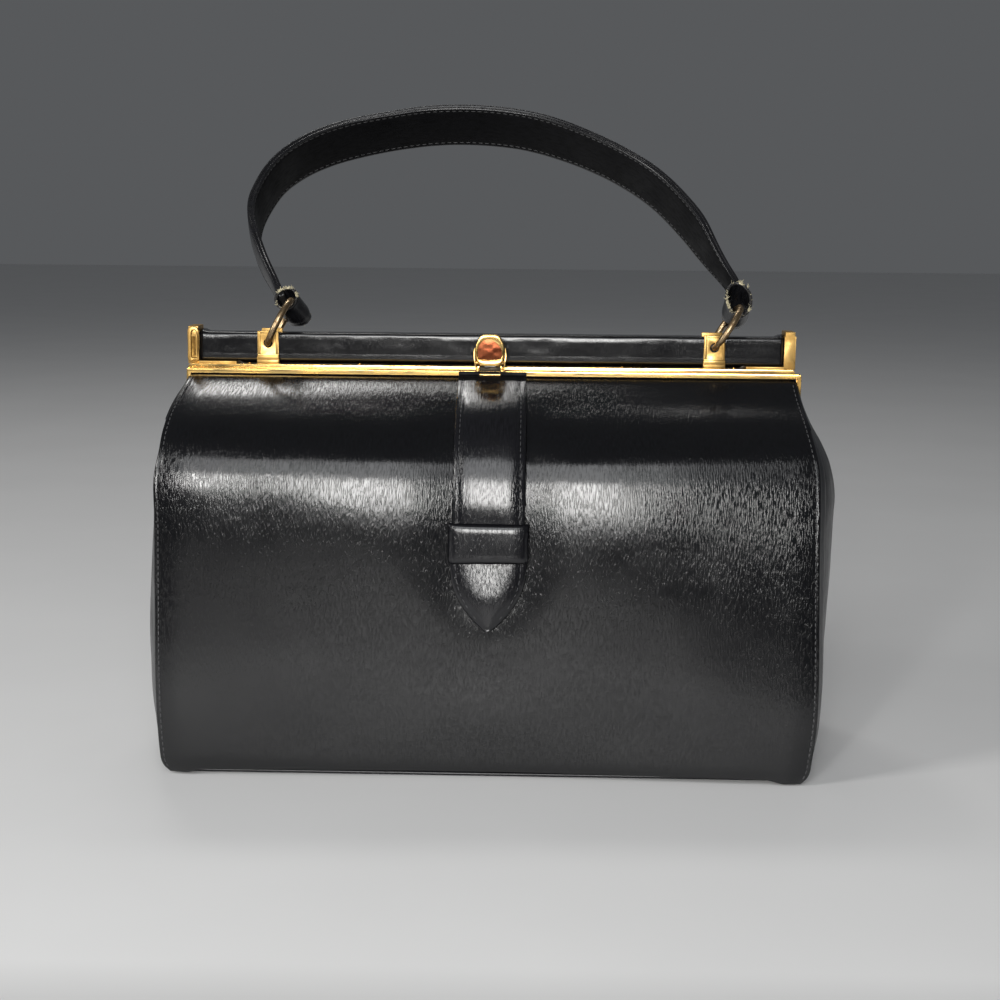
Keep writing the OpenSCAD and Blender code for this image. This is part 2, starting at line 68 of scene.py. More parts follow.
def slook(tab, x):
    """As look, with a smooth curve through the table's points."""
    n = len(tab)
    if x <= tab[0][0]:
        return tab[0][1]
    if x >= tab[-1][0]:
        return tab[-1][1]
    for i in range(n - 1):
        if x <= tab[i + 1][0]:
            x0, y0 = tab[i]
            x1, y1 = tab[i + 1]
            xm, ym = tab[max(i - 1, 0)]
            xp, yp = tab[min(i + 2, n - 1)]
            h = x1 - x0
            m0 = (y1 - ym) / (x1 - xm) if i > 0 else (y1 - y0) / h
            m1 = (yp - y0) / (xp - x0) if i < n - 2 else (y1 - y0) / h
            t = (x - x0) / h
            return ((2 * t**3 - 3 * t**2 + 1) * y0 + (t**3 - 2 * t**2 + t) * h * m0
                    + (-2 * t**3 + 3 * t**2) * y1 + (t**3 - t**2) * h * m1)
    return tab[-1][1]


def catmull(p, t):
    """Point at t, from 0 to len(p) - 1, of a smooth curve through the points p."""
    n = len(p)
    i = min(int(math.floor(t)), n - 2)
    i = max(i, 0)
    f = t - i
    a, b, c, d = p[max(i - 1, 0)], p[i], p[i + 1], p[min(i + 2, n - 1)]
    return tuple(0.5 * (2 * b[k] + (c[k] - a[k]) * f + (2 * a[k] - 5 * b[k] + 4 * c[k] - d[k]) * f * f
                        + (3 * b[k] - a[k] - 3 * c[k] + d[k]) * f**3) for k in range(len(b)))


def nz(x, y, z=0.0):
    """Smooth repeatable noise, from about -1 to 1."""
    return noise.noise(Vector((x, y, z)))


def link(ob):
    bpy.context.scene.collection.objects.link(ob)
    return ob


def mesh_obj(name, verts, faces, mats, uvs=None, mat_ids=None, smooth=True):
    """A mesh object from vertices in millimetres. uvs holds one (u, v) per vertex, in metres."""
    me = bpy.data.meshes.new(name)
    me.from_pydata([(v[0] * MM, v[1] * MM, v[2] * MM) for v in verts], [], faces)
    me.validate(verbose=False)
    for m in (mats if isinstance(mats, (list, tuple)) else [mats]):
        me.materials.append(m)
    if uvs is not None:
        layer = me.uv_layers.new(name="UVMap")
        for lp in me.loops:
            layer.data[lp.index].uv = uvs[lp.vertex_index]
    if mat_ids is not None and len(mat_ids) == len(me.polygons):
        me.polygons.foreach_set("material_index", mat_ids)
    me.polygons.foreach_set("use_smooth", [smooth] * len(me.polygons))
    me.update()
    return link(bpy.data.objects.new(name, me))


def apply_mods(ob):
    bpy.context.view_layer.update()
    dg = bpy.context.evaluated_depsgraph_get()
    me = bpy.data.meshes.new_from_object(ob.evaluated_get(dg), preserve_all_data_layers=True, depsgraph=dg)
    ob.modifiers.clear()
    old = ob.data
    ob.data = me
    if old.users == 0:
        bpy.data.meshes.remove(old)
    return ob


def grid_faces(nr, nc, base=0, close=False, flip=False):
    out = []
    for i in range(nr - 1):
        for j in range(nc if close else nc - 1):
            k = (j + 1) % nc
            q = [base + i * nc + j, base + i * nc + k, base + (i + 1) * nc + k, base + (i + 1) * nc + j]
            out.append(q[::-1] if flip else q)
    return out


def thick_sheet(name, rows, uv, thick, mats, inward, edge_mat=0, round_edge=True):
    """A closed sheet. rows[i][j] is a point of its outer face and inward(i, j) the unit direction to its inner face."""
    nr, nc = len(rows), len(rows[0])
    verts, uvs = [], []
    for i in range(nr):
        for j in range(nc):
            verts.append(rows[i][j])
            uvs.append(uv[i][j])
    o = nr * nc
    for i in range(nr):
        for j in range(nc):
            d = inward(i, j)
            p = rows[i][j]
            verts.append((p[0] + d[0] * thick, p[1] + d[1] * thick, p[2] + d[2] * thick))
            uvs.append(uv[i][j])
    faces = grid_faces(nr, nc) + grid_faces(nr, nc, o, flip=True)
    ids = [0] * len(faces)
    rim = []
    for j in range(nc - 1):
        rim.append([j + 1, j, o + j, o + j + 1])
        s = (nr - 1) * nc
        rim.append([s + j, s + j + 1, o + s + j + 1, o + s + j])
    for i in range(nr - 1):
        rim.append([i * nc, (i + 1) * nc, o + (i + 1) * nc, o + i * nc])
        e = nc - 1
        rim.append([(i + 1) * nc + e, i * nc + e, o + i * nc + e, o + (i + 1) * nc + e])
    faces += rim
    ids += [edge_mat] * len(rim)
    return mesh_obj(name, verts, faces, mats, uvs, ids)


def grid_normals(rows):
    nr, nc = len(rows), len(rows[0])
    out = []
    for i in range(nr):
        line = []
        for j in range(nc):
            a = Vector(rows[min(i + 1, nr - 1)][j]) - Vector(rows[max(i - 1, 0)][j])
            b = Vector(rows[i][min(j + 1, nc - 1)]) - Vector(rows[i][max(j - 1, 0)])
            n = a.cross(b)
            line.append(n.normalized() if n.length > 1e-9 else Vector((0, 0, 1)))
        out.append(line)
    return out


# ------------------------------------------------------------------ materials
def nodes_of(name):
    m = bpy.data.materials.new(name)
    m.use_nodes = True
    nt = m.node_tree
    bsdf = nt.nodes["Principled BSDF"]
    return m, nt, bsdf


def add(nt, kind, **kw):
    n = nt.nodes.new(kind)
    for k, v in kw.items():
        if k in n.inputs:
            n.inputs[k].default_value = v
        else:
            setattr(n, k, v)
    return n


def ramp(nt, fac, stops):
    r = nt.nodes.new("ShaderNodeValToRGB")
    cr = r.color_ramp
    cr.elements[0].position, cr.elements[0].color = stops[0][0], stops[0][1]
    cr.elements[1].position, cr.elements[1].color = stops[-1][0], stops[-1][1]
    for p, c in stops[1:-1]:
        e = cr.elements.new(p)
        e.color = c
    nt.links.new(fac, r.inputs["Fac"])
    return r


def grey(v):
    return (v, v, v, 1)


def coords(nt, kind="UV", scale=(1, 1, 1), rot=(0, 0, 0)):
    tc = nt.nodes.new("ShaderNodeTexCoord")
    mp = nt.nodes.new("ShaderNodeMapping")
    mp.inputs["Scale"].default_value = scale
    mp.inputs["Rotation"].default_value = rot
    nt.links.new(tc.outputs[kind], mp.inputs["Vector"])
    return mp.outputs["Vector"]


def leather(name, base=(0.0075, 0.0078, 0.0092), rough=0.27, grain=1.0, along=1100.0, across=150.0, kind="UV",
            swap=False, wear=0.5, bump=0.5, creases=0.5, cols=0.0):
    """Black glazed leather with a fine wrinkled grain that runs along v."""
    m, nt, b = nodes_of(name)
    L = nt.links.new
    sc = (across, along, along) if swap else (along, across, along)
    # slow waviness bends the grain
    warp = add(nt, "ShaderNodeTexNoise", Scale=90.0, Detail=1.5)
    L(coords(nt, kind), warp.inputs["Vector"])
    wsub = add(nt, "ShaderNodeVectorMath", operation="SUBTRACT")
    wsub.inputs[1].default_value = (0.5, 0.5, 0.5)
    L(warp.outputs["Color"], wsub.inputs[0])
    wscl = add(nt, "ShaderNodeVectorMath", operation="SCALE")
    wscl.inputs["Scale"].default_value = 1.1
    L(wsub.outputs[0], wscl.inputs[0])
    wadd = add(nt, "ShaderNodeVectorMath", operation="ADD")
    L(coords(nt, kind, sc), wadd.inputs[0])
    L(wscl.outputs[0], wadd.inputs[1])
    g1 = add(nt, "ShaderNodeTexNoise", Scale=1.0, Detail=2.5, Roughness=0.55)
    L(wadd.outputs[0], g1.inputs["Vector"])
    # folds of the grain: narrow valleys between rounded ridges
    r1 = ramp(nt, g1.outputs["Fac"], [(0.36, grey(0.0)), (0.47, grey(0.75)), (0.6, grey(1.0))])
    # where the grain is strong and where it lies flat
    gm = add(nt, "ShaderNodeTexNoise", Scale=26.0, Detail=2.0)
    L(coords(nt, kind), gm.inputs["Vector"])
    gmr = ramp(nt, gm.outputs["Fac"], [(0.3, grey(0.45)), (0.65, grey(1.0))])
    amp = add(nt, "ShaderNodeMath", operation="MULTIPLY")
    L(r1.outputs["Color"], amp.inputs[0])
    L(gmr.outputs["Color"], amp.inputs[1])
    # fine pores
    g2 = add(nt, "ShaderNodeTexNoise", Scale=2600.0, Detail=2.0)
    L(coords(nt, kind), g2.inputs["Vector"])
    # broad unevenness of the hide
    g3 = add(nt, "ShaderNodeTexNoise", Scale=55.0, Detail=1.0)
    L(coords(nt, kind), g3.inputs["Vector"])
    bmp3 = add(nt, "ShaderNodeBump", Strength=0.22 * creases, Distance=0.0012)
    L(g3.outputs["Fac"], bmp3.inputs["Height"])
    bmp1 = add(nt, "ShaderNodeBump", Strength=bump, Distance=0.0002 * grain)
    L(amp.outputs[0], bmp1.inputs["Height"])
    if cols:
        # long shallow ribs that run up the hide
        g4 = add(nt, "ShaderNodeTexNoise", Scale=1.0, Detail=1.0)
        L(coords(nt, kind, (620.0, 34.0, 620.0)), g4.inputs["Vector"])
        bmp4 = add(nt, "ShaderNodeBump", Strength=cols, Distance=0.0002)
        L(g4.outputs["Fac"], bmp4.inputs["Height"])
        L(bmp3.outputs["Normal"], bmp4.inputs["Normal"])
        L(bmp4.outputs["Normal"], bmp1.inputs["Normal"])
    else:
        L(bmp3.outputs["Normal"], bmp1.inputs["Normal"])
    bmp2 = add(nt, "ShaderNodeBump", Strength=0.12, Distance=0.00004)
    L(g2.outputs["Fac"], bmp2.inputs["Height"])
    L(bmp1.outputs["Normal"], bmp2.inputs["Normal"])
    L(bmp2.outputs["Normal"], b.inputs["Normal"])
    # colour: a little greyer on the ridges, small scuffs
    cmix = ramp(nt, g1.outputs["Fac"], [(0.35, (base[0] * 0.5, base[1] * 0.5, base[2] * 0.55, 1)),
                                        (0.6, (base[0] * 1.35, base[1] * 1.35, base[2] * 1.4, 1))])
    scn = add(nt, "ShaderNodeTexNoise", Scale=1.0, Detail=3.0)
    L(coords(nt, kind, (38.0, 320.0, 320.0), (0, 0, 0.5)), scn.inputs["Vector"])
    scr = ramp(nt, scn.outputs["Fac"], [(0.735, grey(0.0)), (0.77, grey(0.10 * wear))])
    mixs = add(nt, "ShaderNodeMix", data_type="RGBA")
    L(scr.outputs["Color"], mixs.inputs[0])
    L(cmix.outputs["Color"], mixs.inputs[6])
    mixs.inputs[7].default_value = (0.16, 0.16, 0.17, 1)
    L(mixs.outputs[2], b.inputs["Base Color"])
    # roughness: polished ridges, duller valleys, slow patches
    rp = ramp(nt, g3.outputs["Fac"], [(0.3, grey(rough * 0.85)), (0.7, grey(rough * 1.22))])
    rr = ramp(nt, g1.outputs["Fac"], [(0.38, grey(0.06)), (0.55, grey(0.0))])
    radd = add(nt, "ShaderNodeMath", operation="ADD")
    L(rp.outputs["Color"], radd.inputs[0])
    L(rr.outputs["Color"], radd.inputs[1])
    L(radd.outputs[0], b.inputs["Roughness"])
    b.inputs["Specular IOR Level"].default_value = 0.5
    b.inputs["Coat Weight"].default_value = 0.15
    b.inputs["Coat Roughness"].default_value = 0.16
    b.inputs["Coat IOR"].default_value = 1.45
    return m


def metal(name, base, base2, rough=0.17, scale=260.0, kind="Object", tarnish=0.2, scratch=0.25, wave=0.03):
    m, nt, b = nodes_of(name)
    L = nt.links.new
    n1 = add(nt, "ShaderNodeTexNoise", Scale=scale, Detail=4.0, Roughness=0.6)
    L(coords(nt, kind), n1.inputs["Vector"])
    c = ramp(nt, n1.outputs["Fac"], [(0.5 - tarnish * 0.5, (*base2, 1)), (0.52 + tarnish * 0.25, (*base, 1))])
    L(c.outputs["Color"], b.inputs["Base Color"])
    r = ramp(nt, n1.outputs["Fac"], [(0.3, grey(rough * 1.7)), (0.62, grey(rough * 0.8))])
    L(r.outputs["Color"], b.inputs["Roughness"])
    n2 = add(nt, "ShaderNodeTexNoise", Scale=1.0, Detail=2.0)
    L(coords(nt, kind, (180.0, 2600.0, 2600.0)), n2.inputs["Vector"])
    b1 = add(nt, "ShaderNodeBump", Strength=scratch, Distance=0.00002)
    L(n2.outputs["Fac"], b1.inputs["Height"])
    n3 = add(nt, "ShaderNodeTexNoise", Scale=190.0, Detail=1.0)
    L(coords(nt, kind), n3.inputs["Vector"])
    b2 = add(nt, "ShaderNodeBump", Strength=wave, Distance=0.00015)
    L(n3.outputs["Fac"], b2.inputs["Height"])
    L(b1.outputs["Normal"], b2.inputs["Normal"])
    L(b2.outputs["Normal"], b.inputs["Normal"])
    b.inputs["Metallic"].default_value = 1.0
    return m


def cloth(name, c1, c2, pitch=1900.0, rough=0.85, kind="UV", sheen=0.25):
    m, nt, b = nodes_of(name)
    L = nt.links.new
    w1 = add(nt, "ShaderNodeTexWave", wave_type="BANDS", bands_direction="X", Scale=pitch / 6.283, Distortion=1.2, Detail=1.0)
    L(coords(nt, kind), w1.inputs["Vector"])
    w2 = add(nt, "ShaderNodeTexWave", wave_type="BANDS", bands_direction="Y", Scale=pitch / 6.283, Distortion=1.2, Detail=1.0)
    L(coords(nt, kind), w2.inputs["Vector"])
    mul = add(nt, "ShaderNodeMath", operation="MULTIPLY")
    L(w1.outputs["Fac"], mul.inputs[0])
    L(w2.outputs["Fac"], mul.inputs[1])
    c = ramp(nt, mul.outputs[0], [(0.0, (*c1, 1)), (0.8, (*c2, 1))])
    n = add(nt, "ShaderNodeTexNoise", Scale=60.0, Detail=3.0)
    L(coords(nt, kind), n.inputs["Vector"])
    mx = add(nt, "ShaderNodeMix", data_type="RGBA", blend_type="MULTIPLY")
    mx.inputs[0].default_value = 0.45
    L(c.outputs["Color"], mx.inputs[6])
    nr = ramp(nt, n.outputs["Fac"], [(0.3, grey(0.55)), (0.7, grey(1.0))])
    L(nr.outputs["Color"], mx.inputs[7])
    L(mx.outputs[2], b.inputs["Base Color"])
    rr = ramp(nt, n.outputs["Fac"], [(0.2, grey(rough * 0.9)), (0.8, grey(min(1.0, rough * 1.1)))])
    L(rr.outputs["Color"], b.inputs["Roughness"])
    bp = add(nt, "ShaderNodeBump", Strength=0.5, Distance=0.00012)
    L(mul.outputs[0], bp.inputs["Height"])
    L(bp.outputs["Normal"], b.inputs["Normal"])
    b.inputs["Sheen Weight"].default_value = sheen
    return m


def fibre(name, c1, c2, rough=0.8, scale=(600, 600, 600), kind="Object", bump=0.5, dist=0.0002):
    m, nt, b = nodes_of(name)
    L = nt.links.new
    n = add(nt, "ShaderNodeTexNoise", Scale=1.0, Detail=4.0, Roughness=0.65)
    L(coords(nt, kind, scale), n.inputs["Vector"])
    c = ramp(nt, n.outputs["Fac"], [(0.3, (*c1, 1)), (0.68, (*c2, 1))])
    L(c.outputs["Color"], b.inputs["Base Color"])
    r = ramp(nt, n.outputs["Fac"], [(0.2, grey(rough * 0.85)), (0.8, grey(min(1.0, rough * 1.15)))])
    L(r.outputs["Color"], b.inputs["Roughness"])
    bp = add(nt, "ShaderNodeBump", Strength=bump, Distance=dist)
    L(n.outputs["Fac"], bp.inputs["Height"])
    L(bp.outputs["Normal"], b.inputs["Normal"])
    return m


M_PANEL = leather("box_calf_vertical_grain", base=(0.0024, 0.0025, 0.003), along=1850.0, across=260.0, bump=0.4, rough=0.13, creases=0.12, cols=0.12)
M_GUSSET = leather("box_calf_gusset", rough=0.34, bump=0.35, grain=0.8, wear=0.8)
M_BAR = leather("box_calf_bar", base=(0.0035, 0.0035, 0.004), rough=0.12, bump=0.13, grain=0.6, along=2400.0, across=400.0, wear=0.05, creases=0.1)
M_BELT = leather("box_calf_belt", base=(0.0045, 0.0045, 0.0055), rough=0.135, bump=0.38, grain=0.8, along=1850.0, across=260.0, wear=0.2, creases=0.15, cols=0.12)
M_STRAP = leather("box_calf_handle", base=(0.005, 0.005, 0.0058), rough=0.24, bump=0.3, grain=0.7, along=900.0, across=260.0, wear=0.4, creases=0.6)
M_EDGE = fibre("burnished_leather_edge", (0.006, 0.006, 0.007), (0.03, 0.028, 0.026), rough=0.42, scale=(900, 900, 900), bump=0.35)
M_THREAD = fibre("waxed_black_thread", (0.012, 0.012, 0.013), (0.075, 0.075, 0.078), rough=0.5, scale=(2500, 2500, 2500), bump=0.6, dist=0.00008)
M_GOLD = metal("gilt_metal", (0.95, 0.65, 0.25), (0.84, 0.52, 0.16), rough=0.18, scale=90.0, tarnish=0.25, scratch=0.12)
M_SATIN = metal("satin_gilt_metal", (0.50, 0.32, 0.11), (0.38, 0.23, 0.07), rough=0.36, scale=160.0, tarnish=0.3, scratch=0.2, wave=0.02)
# darker, rougher copy of the gold for the left cap's window recess: painted shade in the hollow
M_SHADED_RECESS_GOLD = metal("gold_recess_painted_shade", (0.20, 0.115, 0.03), (0.07, 0.035, 0.01), rough=0.36, scale=300.0, tarnish=0.4, scratch=0.4, wave=0.2)
M_BRONZE = metal("tarnished_bronze_wire", (0.46, 0.34, 0.20), (0.17, 0.11, 0.06), rough=0.32, scale=420.0, tarnish=0.35, scratch=0.5, wave=0.4)
M_STEEL = metal("spring_steel", (0.6, 0.6, 0.6), (0.35, 0.35, 0.36), rough=0.28, tarnish=0.2)
# near-black metal for the block between the clasp's feet: painted shade in the gap under the button
M_HINGE_GAP_SHADE = metal("hinge_gap_painted_shade", (0.06, 0.05, 0.035), (0.02, 0.016, 0.012), rough=0.4, scale=300.0)
# a darker, duller copy of the leather: painted shade on the belt's top under the clasp and on the handle's inner face
M_SHADE_LEATHER = leather("dull_leather_painted_shade", base=(0.0022, 0.0022, 0.0026), rough=0.5, bump=0.3, grain=0.6, along=700.0, across=200.0, wear=0.2, creases=0.4)
M_SHADE_LEATHER.node_tree.nodes["Principled BSDF"].inputs["Specular IOR Level"].default_value = 0.14
M_SHADE_LEATHER.node_tree.nodes["Principled BSDF"].inputs["Coat Weight"].default_value = 0.0
M_COPPER = metal("copper_mirror_inlay", (0.17, 0.045, 0.02), (0.07, 0.03, 0.012), rough=0.2, scale=240.0, tarnish=0.6, scratch=0.1, wave=0.5)
M_LINING = cloth("lining_twill", (0.018, 0.016, 0.015), (0.055, 0.049, 0.045))
M_POCKET = cloth("pocket_twill", (0.022, 0.019, 0.018), (0.07, 0.06, 0.055), pitch=1500.0)
M_FELT = fibre("grey_felt", (0.3, 0.28, 0.25), (0.52, 0.5, 0.45), scale=(900, 900, 900), bump=0.9)
M_CARD = fibre("card_stiffener", (0.3, 0.23, 0.15), (0.46, 0.37, 0.26), rough=0.9, scale=(300, 300, 900), bump=0.3)
M_WOOD = fibre("bar_wood", (0.3, 0.2, 0.11), (0.52, 0.38, 0.23), rough=0.7, scale=(30, 900, 900), bump=0.3)
M_RAWCORE = fibre("raw_hide_core", (0.2, 0.14, 0.08), (0.36, 0.27, 0.17), rough=0.9, scale=(1400, 1400, 1400), bump=0.6)
M_FRAY = fibre("frayed_edge", (0.16, 0.13, 0.07), (0.72, 0.66, 0.46), rough=0.9, scale=(1700, 1700, 1700), bump=0.9)

# ------------------------------------------------------------------ shape of the bag (millimetres)
# The front wall's profile at its left edge, middle and right edge, as (distance in front of y = 0, height)
P_LEFT = [(2.9, 179.4), (3.7, 178.0), (9.0, 176.2), (25.0, 168.6), (39.5, 158.6), (48.6, 147.0), (53.0, 135.0),
          (55.2, 114.0), (56.6, 86.0), (58.6, 56.0), (59.6, 30.0), (58.9, 10.0), (57.2, 1.3)]
P_MID = [(2.9, 179.4), (3.7, 177.9), (7.6, 175.9), (20.6, 168.6), (34.4, 159.4), (44.2, 148.4), (49.6, 136.4),
         (53.0, 116.0), (55.2, 88.0), (56.8, 57.0), (57.3, 30.0), (56.8, 10.0), (55.8, 3.4)]
P_RIGHT = [(2.9, 179.4), (3.7, 177.8), (7.0, 175.4), (16.6, 167.8), (29.0, 159.8), (39.2, 149.0), (44.8, 136.6),
           (49.6, 115.0), (53.6, 87.0), (57.2, 57.0), (59.6, 31.0), (60.2, 10.0), (59.6, 1.0)]
HALF_W = [(1.0, 145.0), (4.0, 147.8), (9.0, 149.3), (35.0, 149.8), (80.0, 148.6), (110.0, 147.7), (136.0, 146.5),
          (150.0, 144.4), (160.0, 143.0), (168.0, 142.5), (175.0, 142.1), (179.5, 142.0)]
# the two sides of the old bag differ a little from each other
W_LEFT = [(1.0, -2.2), (10.0, -2.4), (35.0, -1.9), (56.0, -1.3), (86.0, -0.6), (120.0, 0.1), (134.0, 1.1), (148.0, 1.4), (156.0, 2.1),
          (163.0, 2.0), (167.0, 1.3), (171.0, 0.2), (175.0, -1.1), (178.0, -1.6), (180.0, -1.7)]
W_RIGHT = [(1.0, -1.8), (10.0, -2.1), (20.0, -1.3), (35.0, -0.4), (56.0, 0.0), (100.0, 0.5), (120.0, 1.1), (134.0, 1.8), (147.0, 2.6),
           (160.0, 2.1), (168.0, 1.1), (174.0, 0.3), (178.0, 0.0), (180.0, 0.0)]
NP = len(P_MID) - 1


def profile(u, t):
    """(distance in front, height) of the front wall at u, from -1 left to 1 right, and t, from 0 at the rail to NP at the floor."""
    m = catmull(P_MID, t)
    e = catmull(P_LEFT if u < 0 else P_RIGHT, t)
    k = smooth01(abs(u)) ** 1.15
    z = lerp(m[1], e[1], k)
    # the lower edge is drawn up between its two corners
    z += 2.0 * k * smooth01((0.955 - abs(u)) / 0.09) * smooth01((12.0 - z) / 10.0)
    return lerp(m[0], e[0], k), z


def front_base(u, t):
    d, z = profile(u, t)
    w = slook(HALF_W, z) + slook(W_LEFT if u < 0 else W_RIGHT, z) * smooth01((abs(u) - 0.4) / 0.6)
    return Vector((u * w, -d, z))


def front_normal(u, t):
    h = 0.02
    a = front_base(u, min(t + h, NP)) - front_base(u, max(t - h, 0))
    b = front_base(min(u + 0.004, 1), t) - front_base(max(u - 0.004, -1), t)
    n = a.cross(b)
    return n.normalized()


BELT_X = 1.2
BELT_HALF = 16.1


def relief(u, t, x, z):
    """How far the front leather stands proud of the plain wall: seam, pillowing and the hollow beside the belt."""
    e = (1 - abs(u)) * 147.0
    r = 0.0
    # turned edge and stitch channel
    r -= 0.35 * (1 - smooth01(e / 1.0)) ** 2
    r -= 0.22 * math.exp(-((e - 1.8) / 0.55) ** 2)
    r -= 0.85 * (1 - smooth01(e / 15.0)) ** 2 * smooth01((177 - z) / 8.0)
    # each half of the wall swells softly
    hx = max(0.0, 1 - ((abs(x) - 76.0) / 70.0) ** 2)
    r += 2.3 * hx * smooth01((z - 20) / 70.0) * smooth01((170 - z) / 35.0)
    # hollow along the belt, deepest by the keeper
    dx = (x - BELT_X) / 27.0
    r -= 3.4 * math.exp(-dx * dx) * smooth01((z - 58) / 45.0) * smooth01((171 - z) / 26.0)
    # slow unevenness of the hide
    r += 0.45 * nz(x * 0.016, z * 0.02, 3.1) * smooth01(z / 30.0) * smooth01((174 - z) / 20.0) * smooth01(e / 12.0)
    r += 0.16 * nz(x * 0.05, z * 0.035, 8.4) * smooth01((174 - z) / 20.0) * smooth01(e / 12.0)
    return r


def front_point(u, t, lift=0.0):
    p = front_base(u, t)
    return p + front_normal(u, t) * (relief(u, t, p.x, p.z) + lift)


def t_rows(n0, n1, step):
    out, t = [], n0
    while t < n1 - 1e-6:
        out.append(t)
        t += step
    out.append(n1)
    return out


EDGE_E = [0.0, 0.35, 0.8, 1.4, 2.1, 2.7, 3.1, 3.6, 4.3, 5.4, 7.0, 9.2, 12.0, 15.5]


def u_cols():
    left = [-1 + e / 147.0 for e in EDGE_E]
    right = [1 - e / 147.0 for e in reversed(EDGE_E)]
    n = 84
    mid = [lerp(left[-1], right[0], k / n) for k in range(1, n)]
    return left + mid + right


def arc_v(fn, us, ts):
    """Arc length from the rail at each row, in metres."""
    out = [0.0]
    for a, b in zip(ts, ts[1:]):
        out.append(out[-1] + (fn(us, b) - fn(us, a)).length * MM)
    return out


def bend(ob):
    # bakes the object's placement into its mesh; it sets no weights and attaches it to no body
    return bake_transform(ob)


def stitches(name, pts, nrm, pitch=4.2, length=3.0, r=0.3, sink=0.08, mat=None, slant=0.0):
    """Stitches along a path: short thread capsules whose ends dive into the leather."""
    mat = mat or M_THREAD
    acc = [0.0]
    for a, b in zip(pts, pts[1:]):
        acc.append(acc[-1] + (b - a).length)
    total = acc[-1]
    verts, faces = [], []

    def at(s):
        s = max(0.0, min(total, s))
        for k in range(len(pts) - 1):
            if s <= acc[k + 1]:
                f = (s - acc[k]) / max(1e-9, acc[k + 1] - acc[k])
                return pts[k].lerp(pts[k + 1], f), nrm[k].lerp(nrm[k + 1], f).normalized()
        return pts[-1], nrm[-1]

    n = int(total // pitch)
    s0 = (total - n * pitch) / 2
    for k in range(n):
        c = s0 + (k + 0.5) * pitch
        ring = []
        for q, (f, rr, dz) in enumerate([(-0.5, 0.35, -0.5), (-0.42, 0.8, -0.15), (-0.2, 1.0, 0.1), (0.2, 1.0, 0.1), (0.42, 0.8, -0.15), (0.5, 0.35, -0.5)]):
            p, nn = at(c + f * length)
            p2, _ = at(c + f * length + 0.2)
            p1, _ = at(c + f * length - 0.2)
            tan = (p2 - p1)
            tan = tan.normalized() if tan.length > 1e-6 else Vector((0, 0, 1))
            side = tan.cross(nn).normalized()
            cc = p + nn * (r * 0.55 - sink + dz * r) + side * (slant * f * length)
            for a in range(6):
                an = a * math.pi / 3
                verts.append(tuple(cc + side * math.cos(an) * r * rr + nn * math.sin(an) * r * 0.8 * rr))
            ring.append(len(verts) - 6)
        for a, b in zip(ring, ring[1:]):
            for j in range(6):
                faces.append([a + j, a + (j + 1) % 6, b + (j + 1) % 6, b + j])
        faces.append([ring[0] + j for j in reversed(range(6))])
        faces.append([ring[-1] + j for j in range(6)])
    return mesh_obj(name, verts, faces, mat)


# ------------------------------------------------------------------ front panel
US = u_cols()
TS = t_rows(0.0, NP, 0.125)
rows = [[tuple(front_point(u, t)) for u in US] for t in TS]
VA = arc_v(front_base, 0.0, TS)
uv = [[(u * 0.147, VA[i]) for u in US] for i, t in enumerate(TS)]
nrmF = [[front_normal(u, t) for u in US] for t in TS]
front_leather = thick_sheet("front_wall_leather", rows, uv, 1.5, [M_PANEL, M_EDGE], lambda i, j: -nrmF[i][j], 1)
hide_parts("front_panel")
bend(front_leather)

for side, nm in ((-1, "left"), (1, "right")):
    path, nn = [], []
    for t in t_rows(1.6, NP - 0.25, 0.1):
        u = side * (1 - 1.8 / 147.0)
        path.append(front_point(u, t))
        nn.append(front_normal(u, t))
    st = stitches(f"front_seam_stitches_{nm}", path, nn, pitch=2.7, length=1.9, r=0.24)
    bend(st)

# ------------------------------------------------------------------ rear panel
def rear_base(u, t):
    d, z = catmull(P_MID, t)
    w = slook(HALF_W, z) + slook(W_LEFT if u < 0 else W_RIGHT, z) * smooth01((abs(u) - 0.4) / 0.6)
    return Vector((u * w, d, z))


def rear_normal(u, t):
    h = 0.02
    a = rear_base(u, min(t + h, NP)) - rear_base(u, max(t - h, 0))
    b = rear_base(min(u + 0.004, 1), t) - rear_base(max(u - 0.004, -1), t)
    return b.cross(a).normalized()


def rear_point(u, t, lift=0.0):
    p = rear_base(u, t)
    e = (1 - abs(u)) * 147.0
    r = -0.35 * (1 - smooth01(e / 1.0)) ** 2 - 0.22 * math.exp(-((e - 1.8) / 0.55) ** 2)
    r -= 0.85 * (1 - smooth01(e / 15.0)) ** 2 * smooth01((177 - p.z) / 8.0)
    r += 1.6 * max(0.0, 1 - (p.x / 150.0) ** 2) * smooth01((p.z - 20) / 70.0) * smooth01((170 - p.z) / 35.0)
    r += 0.45 * nz(p.x * 0.016, p.z * 0.02, 13.1) * smooth01(p.z / 30.0) * smooth01((174 - p.z) / 20.0) * smooth01(e / 12.0)
    return p + rear_normal(u, t) * (r + lift)


rows = [[tuple(rear_point(u, t)) for u in reversed(US)] for t in TS]
uvr = [[(u * 0.147 + 0.4, VA[i]) for u in reversed(US)] for i, t in enumerate(TS)]
nrmR = [[rear_normal(u, t) for u in reversed(US)] for t in TS]
rear_leather = thick_sheet("rear_wall_leather", rows, uvr, 1.5, [M_PANEL, M_EDGE], lambda i, j: -nrmR[i][j], 1)
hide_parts("rear_panel")
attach(rear_leather, "bag")
for side, nm in ((-1, "left"), (1, "right")):
    path, nn = [], []
    for t in t_rows(1.6, NP - 0.25, 0.1):
        u = side * (1 - 1.8 / 147.0)
        path.append(rear_point(u, t))
        nn.append(rear_normal(u, t))
    st = stitches(f"rear_seam_stitches_{nm}", path, nn, pitch=2.7, length=1.9, r=0.24)
    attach(st, "bag")

